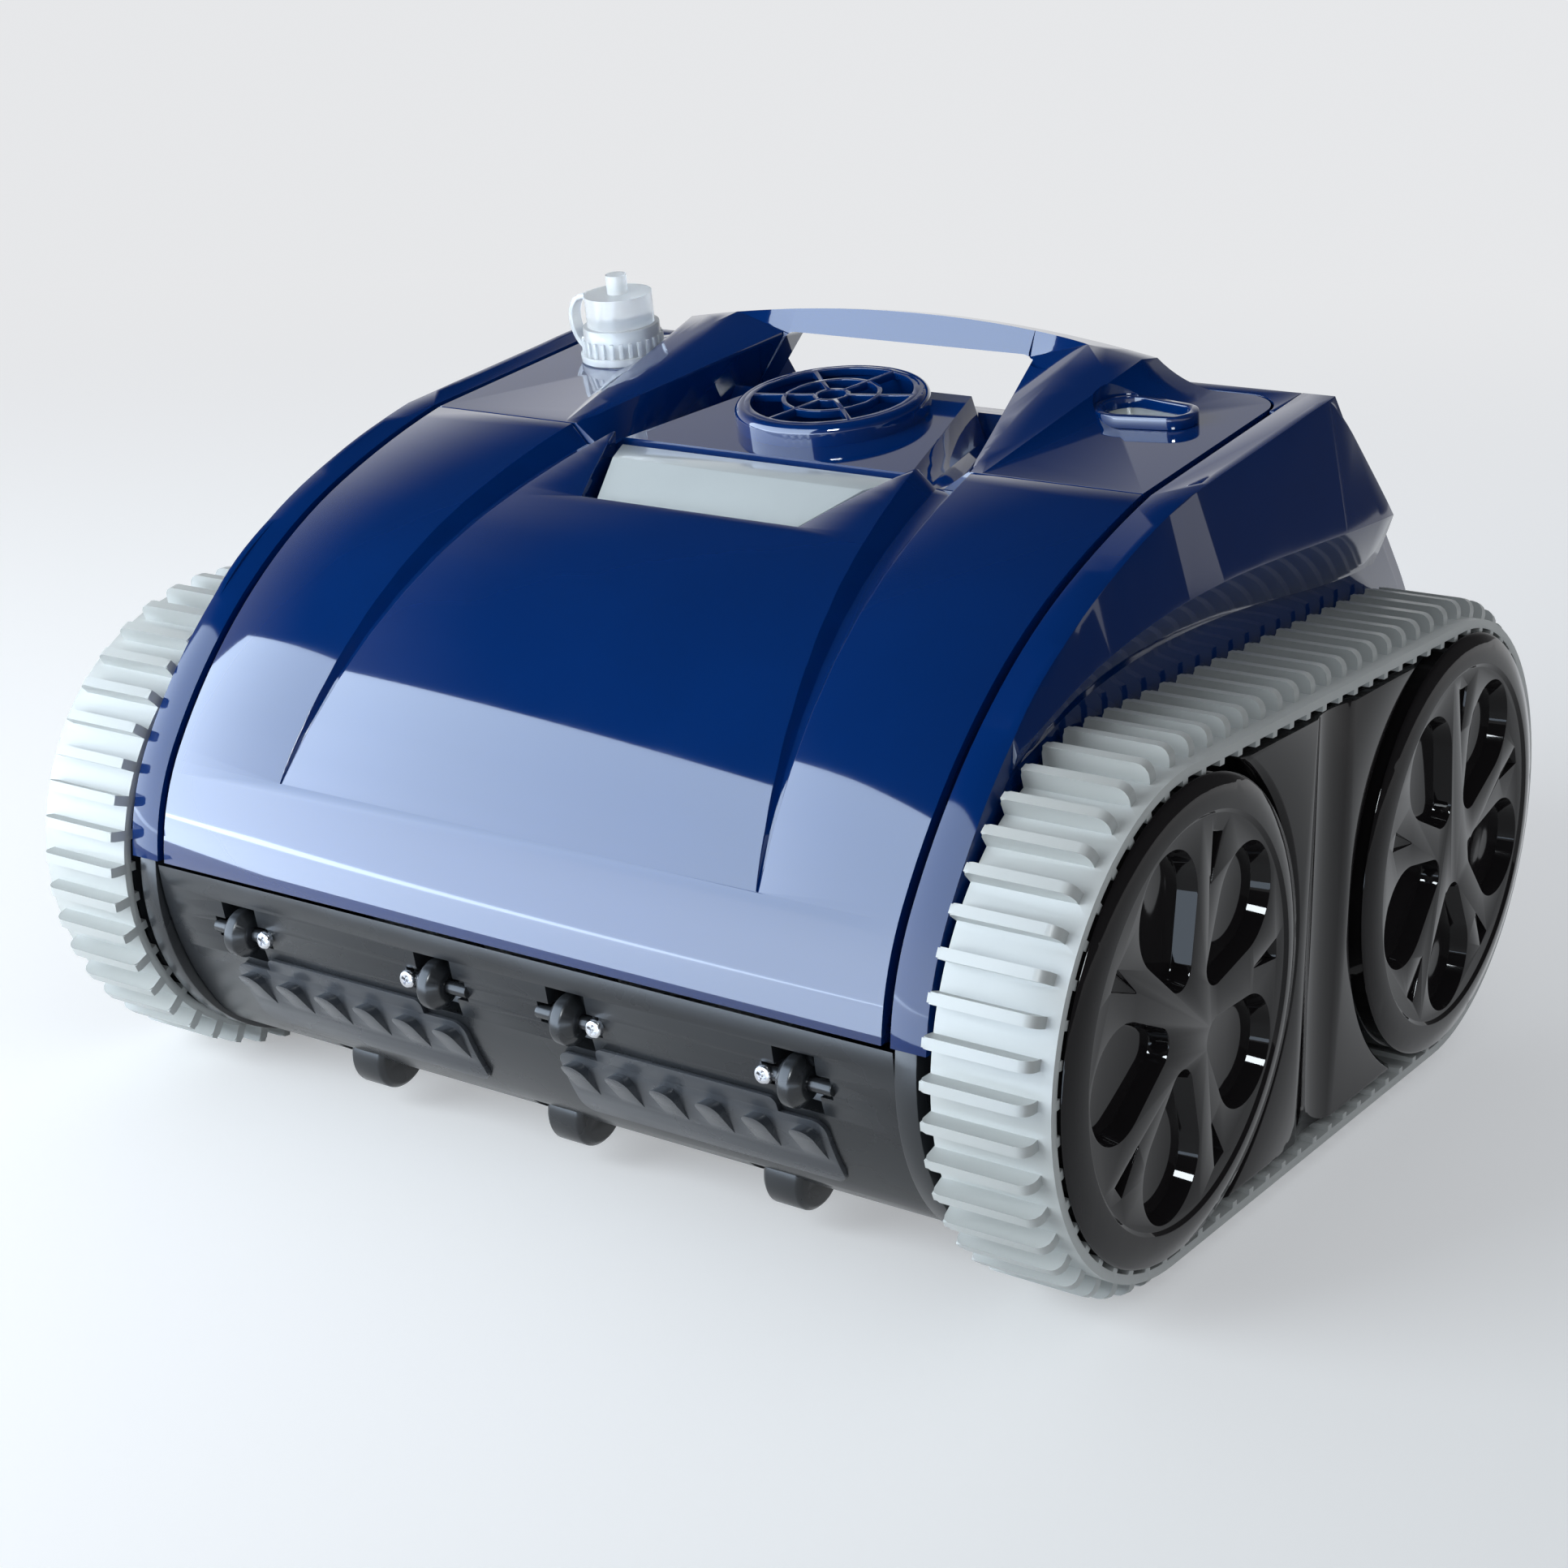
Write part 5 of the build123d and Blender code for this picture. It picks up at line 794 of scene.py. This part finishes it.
@dataclass
class RollerScrews:
    """Cross-head screws that hold the front rollers.

    Attributes:
        frame: The loaded frame.
        radius: Radius of a head, in metres.
        depth: Height of a head, in metres.
        dome: Rounding of the head's rim, in metres.
        dome_steps: Steps across the rounding.
        head_sides: Sides of the head's circle.
        slots: Turns of the two slots of the cross, in degrees.
        slot_length: Length of each slot, in radii of the head.
        slot_width: Width of each slot, in metres.
        slot_depth: Depth of each slot, in metres.
        neck: Radius of the threaded part, in metres.
        neck_length: Length of the threaded part, in metres.
        neck_middle: From the head's back to the threaded part's middle, in metres.
        neck_sides: Sides of the threaded part's circle.
        sunk: From the front of the CAD screw to the front of the head, in metres.
        apart: Gap along X from which on two corners belong to different screws, in metres.
    """

    frame: Frame
    radius: float = 3.5 * MM
    depth: float = 2.6 * MM
    dome: float = 1.2 * MM
    dome_steps: int = 3
    head_sides: int = 32
    slots: tuple[float, float] = (20.0, 110.0)
    slot_length: float = 1.15
    slot_width: float = 1.0 * MM
    slot_depth: float = 1.3 * MM
    neck: float = 1.7 * MM
    neck_length: float = 4.0 * MM
    neck_middle: float = 1.6 * MM
    neck_sides: int = 20
    sunk: float = 0.2 * MM
    apart: float = 5.0 * MM

    def middles(self) -> list[float]:
        """Finds where the CAD screws lie along X, from the gaps between them.

        Returns:
            The middle of each screw, in metres.
        """
        columns = sorted(vertex.co.x for vertex in self.frame.loaded["nodes"]["roller_screws"].data.vertices)
        groups = [[columns[0]]]
        for x in columns[1:]:
            if x - groups[-1][-1] > self.apart:
                groups.append([])
            groups[-1].append(x)
        return [(group[0] + group[-1]) / 2 for group in groups]

    def screw(self, x: float, y: float, z: float) -> bpy.types.Object:
        """Models one screw facing the front.

        Args:
            x: Its middle along the machine's width.
            y: The front of its head.
            z: Its height.

        Returns:
            The screw as one object.
        """
        facing = (math.pi / 2, 0.0, 0.0)
        head_at = (x, y + self.depth / 2, z)
        bpy.ops.object.select_all(action="DESELECT")
        bpy.ops.mesh.primitive_cylinder_add(vertices=self.head_sides, radius=self.radius, depth=self.depth,
                                            location=head_at, rotation=facing)
        head = bpy.context.active_object
        bpy.ops.object.transform_apply(location=True, rotation=True, scale=True)
        select_faces(head, lambda face: face.normal.y < -SQUARE_ON)
        bpy.ops.object.mode_set(mode="EDIT")
        bpy.ops.mesh.bevel(offset=self.dome, segments=self.dome_steps)
        bpy.ops.object.mode_set(mode="OBJECT")
        for turn in self.slots:
            bpy.ops.mesh.primitive_cube_add(size=1.0, location=(x, y, z),
                                            rotation=(0.0, math.radians(turn), 0.0))
            cutter = bpy.context.active_object
            cutter.scale = (self.slot_length * self.radius, 2 * self.slot_depth, self.slot_width)
            cut = head.modifiers.new("cross", "BOOLEAN")
            cut.operation = "DIFFERENCE"
            cut.object = cutter
            select_only(head)
            bpy.ops.object.modifier_apply(modifier=cut.name)
            bpy.data.objects.remove(cutter)
        neck_at = (x, y + self.depth + self.neck_middle, z)
        bpy.ops.object.select_all(action="DESELECT")
        bpy.ops.mesh.primitive_cylinder_add(vertices=self.neck_sides, radius=self.neck,
                                            depth=self.neck_length, location=neck_at, rotation=facing)
        neck = bpy.context.active_object
        bpy.ops.object.transform_apply(location=True, rotation=True, scale=True)
        return joined([head, neck], "screw")

    def build(self) -> None:
        """Stands a cross-head screw in each CAD screw's place."""
        low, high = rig.box("roller_screws")
        screws = [self.screw(x, low.y + self.sunk, (low.z + high.z) / 2) for x in self.middles()]
        whole = joined(screws, "roller_screw_heads")
        finished(whole, Slot.STEEL, self.frame.body_of("roller_screws"))
        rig.replaces(whole, "roller_screws")
        LOG.info("%s built", whole.name)


@dataclass
class PortRibs:
    """The grip ribs round the clear charging socket.

    Attributes:
        frame: The loaded frame.
        joint: The record's joint whose axis is the socket's.
        count: Number of ribs.
        width: Width of a rib, in metres.
        proud: How far a rib stands out, in metres.
        height: Height of a rib, in metres.
        edge: Edge radius of a rib, in metres.
        edge_steps: Steps across that edge.
        lift: How far the ribs reach above the charging cap's lower end, in metres.
    """

    frame: Frame
    joint: str = "cap_pull"
    count: int = 26
    width: float = 1.9 * MM
    proud: float = 1.1 * MM
    height: float = 9.0 * MM
    edge: float = 0.5 * MM
    edge_steps: int = 2
    lift: float = 4.6 * MM

    def rib(self) -> bpy.types.Object:
        """Models one rib at the origin.

        Returns:
            The rib, its length along Z.
        """
        bpy.ops.object.select_all(action="DESELECT")
        bpy.ops.mesh.primitive_cube_add(size=1.0)
        rib = bpy.context.active_object
        rib.scale = (2 * self.proud, self.width, self.height)
        bpy.ops.object.transform_apply(location=True, rotation=True, scale=True)
        edge = rib.modifiers.new("edge_radius", "BEVEL")
        edge.width = self.edge
        edge.segments = self.edge_steps
        bpy.ops.object.modifier_apply(modifier=edge.name)
        return rib

    def build(self) -> None:
        """Copies one rounded rib round the socket's own axis."""
        joints = self.frame.loaded["record"]["behaviour"]["joints"]
        axis = Vector(next(joint["axis"] for joint in joints if joint["name"] == self.joint)).normalized()
        low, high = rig.box("charge_socket")
        cap_low, cap_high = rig.box("charge_cap")
        radius = (high.x - low.x) / 2
        below = 0.5 * (cap_high.z - cap_low.z) + 0.5 * self.height - self.lift
        seat = Matrix.Translation((cap_low + cap_high) / 2 - axis * below)
        upright = Vector((0.0, 0.0, 1.0)).rotation_difference(axis).to_matrix().to_4x4()
        rib = self.rib()
        ribs = []
        for step in range(self.count):
            turn = Matrix.Rotation(2 * math.pi * step / self.count, 4, "Z")
            ribs.append(copied(rib, seat @ upright @ turn @ Matrix.Translation((radius, 0.0, 0.0))))
        bpy.data.objects.remove(rib)
        whole = joined(ribs, "charge_socket_ribs")
        finished(whole, Slot.CLEAR, self.frame.body_of("charge_socket"))
        LOG.info("%s built", whole.name)


# ---------------------------------------------------------------- studio


def seen(tree: bpy.types.NodeTree) -> bpy.types.NodeSocket:
    """Masks what the camera, a reflection or clear plastic looks at.

    Args:
        tree: The tree that gets the nodes.

    Returns:
        The socket of a mask that is 1 there.
    """
    path = tree.nodes.new("ShaderNodeLightPath")
    reflected = combined(tree, "MAXIMUM", path.outputs["Is Camera Ray"], path.outputs["Is Glossy Ray"])
    return combined(tree, "MAXIMUM", reflected, path.outputs["Is Transmission Ray"])


@dataclass(frozen=True)
class Walls:
    """The studio's walls and ceiling, as the world shows them, and the even light from all round.

    Attributes:
        colour: Colour of the walls.
        level: Their brightness.
        ceiling_from: Part of an upward direction at which the ceiling's fade starts and ends.
        ceiling_level: Brightness of the ceiling.
        side_from: Part of a direction to the right at which the dark side's fade starts and ends.
        side_share: Brightness of the dark side beside the other walls.
        ambient_colour: Colour of the even light.
        ambient: Its strength.
    """

    colour: Colour = (0.97, 0.98, 1.0)
    level: float = 0.82
    ceiling_from: tuple[float, float] = (0.12, 0.72)
    ceiling_level: float = 0.02
    side_from: tuple[float, float] = (-0.25, 0.35)
    side_share: float = 0.10
    ambient_colour: Colour = (0.93, 0.96, 1.0)
    ambient: float = 0.42

    def build(self) -> None:
        """Sets up the world: even light, and to the eye pale walls below a dark ceiling."""
        world = bpy.data.worlds.new("studio")
        bpy.context.scene.world = world
        world.use_nodes = True
        tree = world.node_tree
        nodes, links = tree.nodes, tree.links
        plain = nodes["Background"]
        plain.inputs["Color"].default_value = (*self.ambient_colour, 1.0)
        plain.inputs["Strength"].default_value = self.ambient
        place = nodes.new("ShaderNodeTexCoord")
        split = nodes.new("ShaderNodeSeparateXYZ")
        links.new(place.outputs["Generated"], split.inputs[0])
        upper = fade(tree, split.outputs["Z"], self.ceiling_from, (self.level, self.ceiling_level))
        right = fade(tree, split.outputs["X"], self.side_from, (1.0, self.side_share))
        walls = nodes.new("ShaderNodeBackground")
        walls.inputs["Color"].default_value = (*self.colour, 1.0)
        links.new(combined(tree, "MULTIPLY", upper, right), walls.inputs["Strength"])
        mix = nodes.new("ShaderNodeMixShader")
        links.new(seen(tree), mix.inputs["Fac"])
        links.new(plain.outputs["Background"], mix.inputs[1])
        links.new(walls.outputs["Background"], mix.inputs[2])
        links.new(mix.outputs["Shader"], nodes["World Output"].inputs["Surface"])


@dataclass(frozen=True)
class Floor:
    """A large pale floor whose colour darkens to the right as painted shade, and that turns into the walls' tone away
    from the machine.

    Attributes:
        walls: The walls that it turns into.
        size: Length of a side, in metres.
        left: Its colour on the left.
        right: Its colour on the right, darker than the left one as painted shade for the light falling off there.
        painted_shade_span: Where along X the colour starts and ends its change, in metres.
        reach: Distance from the machine at which it starts and ends turning into the walls, in metres.
        roughness: Its roughness.
        specular: Level of its gloss.
        lift_colour: Colour of what the eye finds on it beside the lamps' light.
        lift: Brightness of that.
    """

    walls: Walls
    size: float = 14.0
    # Painted shade: the right colour is darker than the left to stand in for light that falls off to the right.
    left: Colour = (0.82, 0.83, 0.84)
    right: Colour = (0.50, 0.515, 0.515)
    painted_shade_span: tuple[float, float] = (-0.2, 0.75)
    reach: tuple[float, float] = (0.35, 2.6)
    roughness: float = 0.9
    specular: float = 0.1
    lift_colour: Colour = (0.95, 0.97, 1.0)
    lift: float = 0.35

    def build(self) -> None:
        """Lays the floor."""
        bpy.ops.mesh.primitive_plane_add(size=self.size, location=(0.0, 0.0, 0.0))
        floor = bpy.context.active_object
        floor.name = "floor"
        floor.data.materials.append(self.material())
        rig.stage(floor)

    def material(self) -> bpy.types.Material:
        """Makes the floor's material.

        Returns:
            The material.
        """
        material = bpy.data.materials.new("pale_floor")
        material.use_nodes = True
        tree = material.node_tree
        nodes, links = tree.nodes, tree.links
        shader = nodes["Principled BSDF"]
        shader.inputs["Roughness"].default_value = self.roughness
        shader.inputs["Specular IOR Level"].default_value = self.specular
        shader.inputs["Emission Color"].default_value = (*self.lift_colour, 1.0)
        eye = seen(tree)
        links.new(combined(tree, "MULTIPLY", eye, self.lift), shader.inputs["Emission Strength"])
        place = nodes.new("ShaderNodeTexCoord")
        split = nodes.new("ShaderNodeSeparateXYZ")
        links.new(place.outputs["Object"], split.inputs[0])
        # Painted shade: the base colour darkens from the left colour to the right one along X.
        side = fade(tree, split.outputs["X"], self.painted_shade_span, (0.0, 1.0))
        links.new(colour_between(tree, side, self.left, self.right), shader.inputs["Base Color"])
        distance = nodes.new("ShaderNodeVectorMath")
        distance.operation = "LENGTH"
        links.new(place.outputs["Object"], distance.inputs[0])
        away = fade(tree, distance.outputs["Value"], self.reach, (0.0, 1.0))
        wall = nodes.new("ShaderNodeEmission")
        wall.inputs["Color"].default_value = (*self.walls.colour, 1.0)
        wall.inputs["Strength"].default_value = self.walls.level
        blend = nodes.new("ShaderNodeMixShader")
        links.new(combined(tree, "MULTIPLY", away, eye), blend.inputs["Fac"])
        links.new(shader.outputs["BSDF"], blend.inputs[1])
        links.new(wall.outputs["Emission"], blend.inputs[2])
        links.new(blend.outputs["Shader"], nodes["Material Output"].inputs["Surface"])
        return material


DAYLIGHT: Colour = (0.88, 0.95, 1.0)
SHEEN: Colour = (0.66, 0.81, 1.0)


@dataclass(frozen=True)
class Lamp:
    """A rectangular soft lamp.

    Attributes:
        name: Its name.
        at: Its place, in metres.
        size: Its width and height, in metres.
        power: Its power, in watts.
        colour: Colour of its light.
        facing: Direction in which it shines, or None to aim it at the machine.
        lights: Whether it lights surfaces; a lamp that doesn't is seen in their gloss alone.
        in_gloss: Whether it is seen in gloss.
        in_view: Whether the camera sees it.
    """

    name: str
    at: tuple[float, float, float]
    size: tuple[float, float]
    power: float
    colour: Colour = DAYLIGHT
    facing: tuple[float, float, float] | None = None
    lights: bool = True
    in_gloss: bool = True
    in_view: bool = True

    def build(self, target: Vector) -> None:
        """Hangs the lamp.

        Args:
            target: Middle of the machine, in metres.
        """
        bpy.ops.object.light_add(type="AREA", location=self.at)
        lamp = bpy.context.active_object
        lamp.name = self.name
        lamp.data.shape = "RECTANGLE"
        lamp.data.size, lamp.data.size_y = self.size
        lamp.data.energy = self.power
        lamp.data.color = self.colour
        aim = target - Vector(self.at) if self.facing is None else Vector(self.facing)
        lamp.rotation_euler = aim.to_track_quat("-Z", "Y").to_euler()
        lamp.visible_diffuse = self.lights
        lamp.visible_glossy = self.in_gloss
        lamp.visible_camera = self.in_view


LAMPS = (
    Lamp("front_softbox", at=(-1.30, -1.50, 0.74), size=(2.1, 1.44), power=54.0, facing=(0.0, 1.0, 0.0),
         in_gloss=False),
    Lamp("front_panel", at=(-1.175, -0.9225, 0.82), size=(2.77, 1.60), power=76.0, colour=SHEEN,
         facing=(0.3, 1.0, 0.0), lights=False, in_view=False),
    Lamp("floor_card", at=(-0.85, -1.00, 0.004), size=(3.0, 1.16), power=58.0, colour=SHEEN,
         facing=(0.0, 0.0, 1.0), lights=False, in_view=False),
    Lamp("high_front", at=(1.10, -2.00, 1.50), size=(0.5, 0.5), power=48.0, lights=False),
)


@dataclass(frozen=True)
class Studio:
    """Floor, walls, lamps and camera.

    Attributes:
        middle: Middle of the machine, in metres.
        sensor: Width of the camera's sensor, in millimetres.
        lens: Focal length, in millimetres.
        camera_at: Place of the camera, in metres.
        yaw: Turn of the camera about the vertical, in degrees.
        pitch: Tilt of the camera below the horizon, in degrees.
    """

    middle: tuple[float, float, float] = (0.0, 0.0, 0.14)
    sensor: float = 36.0
    lens: float = 66.03
    camera_at: tuple[float, float, float] = (0.6243, -0.9299, 0.4546)
    yaw: float = 34.477
    pitch: float = 17.031

    def camera(self) -> None:
        """Sets up the camera at the product's usual three-quarter view."""
        bpy.ops.object.camera_add(location=self.camera_at,
                                  rotation=(math.radians(90.0 - self.pitch), 0.0, math.radians(self.yaw)))
        camera = bpy.context.active_object
        camera.data.sensor_width = self.sensor
        camera.data.lens = self.lens
        bpy.context.scene.camera = camera

    def build(self) -> None:
        """Sets up the whole studio."""
        walls = Walls()
        Floor(walls).build()
        walls.build()
        for lamp in LAMPS:
            lamp.build(Vector(self.middle))
        self.camera()


# ---------------------------------------------------------------- the whole machine

# Thin pieces whose edges take a smaller radius than the usual one.
EDGES = dict.fromkeys(("left_belt", "right_belt", "outlet_grille"), 0.35 * MM)
# Pieces that keep the CAD shape, and pieces that a class above models.
KEEP = {"charge_cap", "lid_seal", "filter_mesh", "battery_pack"}
MODELLED = {"roller_screws"}


def main() -> None:
    """Loads the frame, builds every piece and writes the two boxes."""
    logging.basicConfig(level=logging.INFO, format="%(name)s: %(message)s")
    frame = Frame()
    cad_box = [list(corner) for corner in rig.bounds()]
    for node in sorted(frame.loaded["nodes"]):
        if node in KEEP:
            frame.keep(node)
        elif node not in MODELLED:
            frame.rounded(node, EDGES.get(node))
        LOG.info("%s dressed", node)
    Paddles(frame).build()
    RollerScrews(frame).build()
    PortRibs(frame).build()
    Studio().build()
    bpy.context.scene.view_settings.view_transform = "Standard"
    with open(SIZE_FILE, "w", encoding="utf-8") as out:
        json.dump({"cad": cad_box, "scene": [list(corner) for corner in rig.bounds()]}, out)


if __name__ == "__main__":
    main()
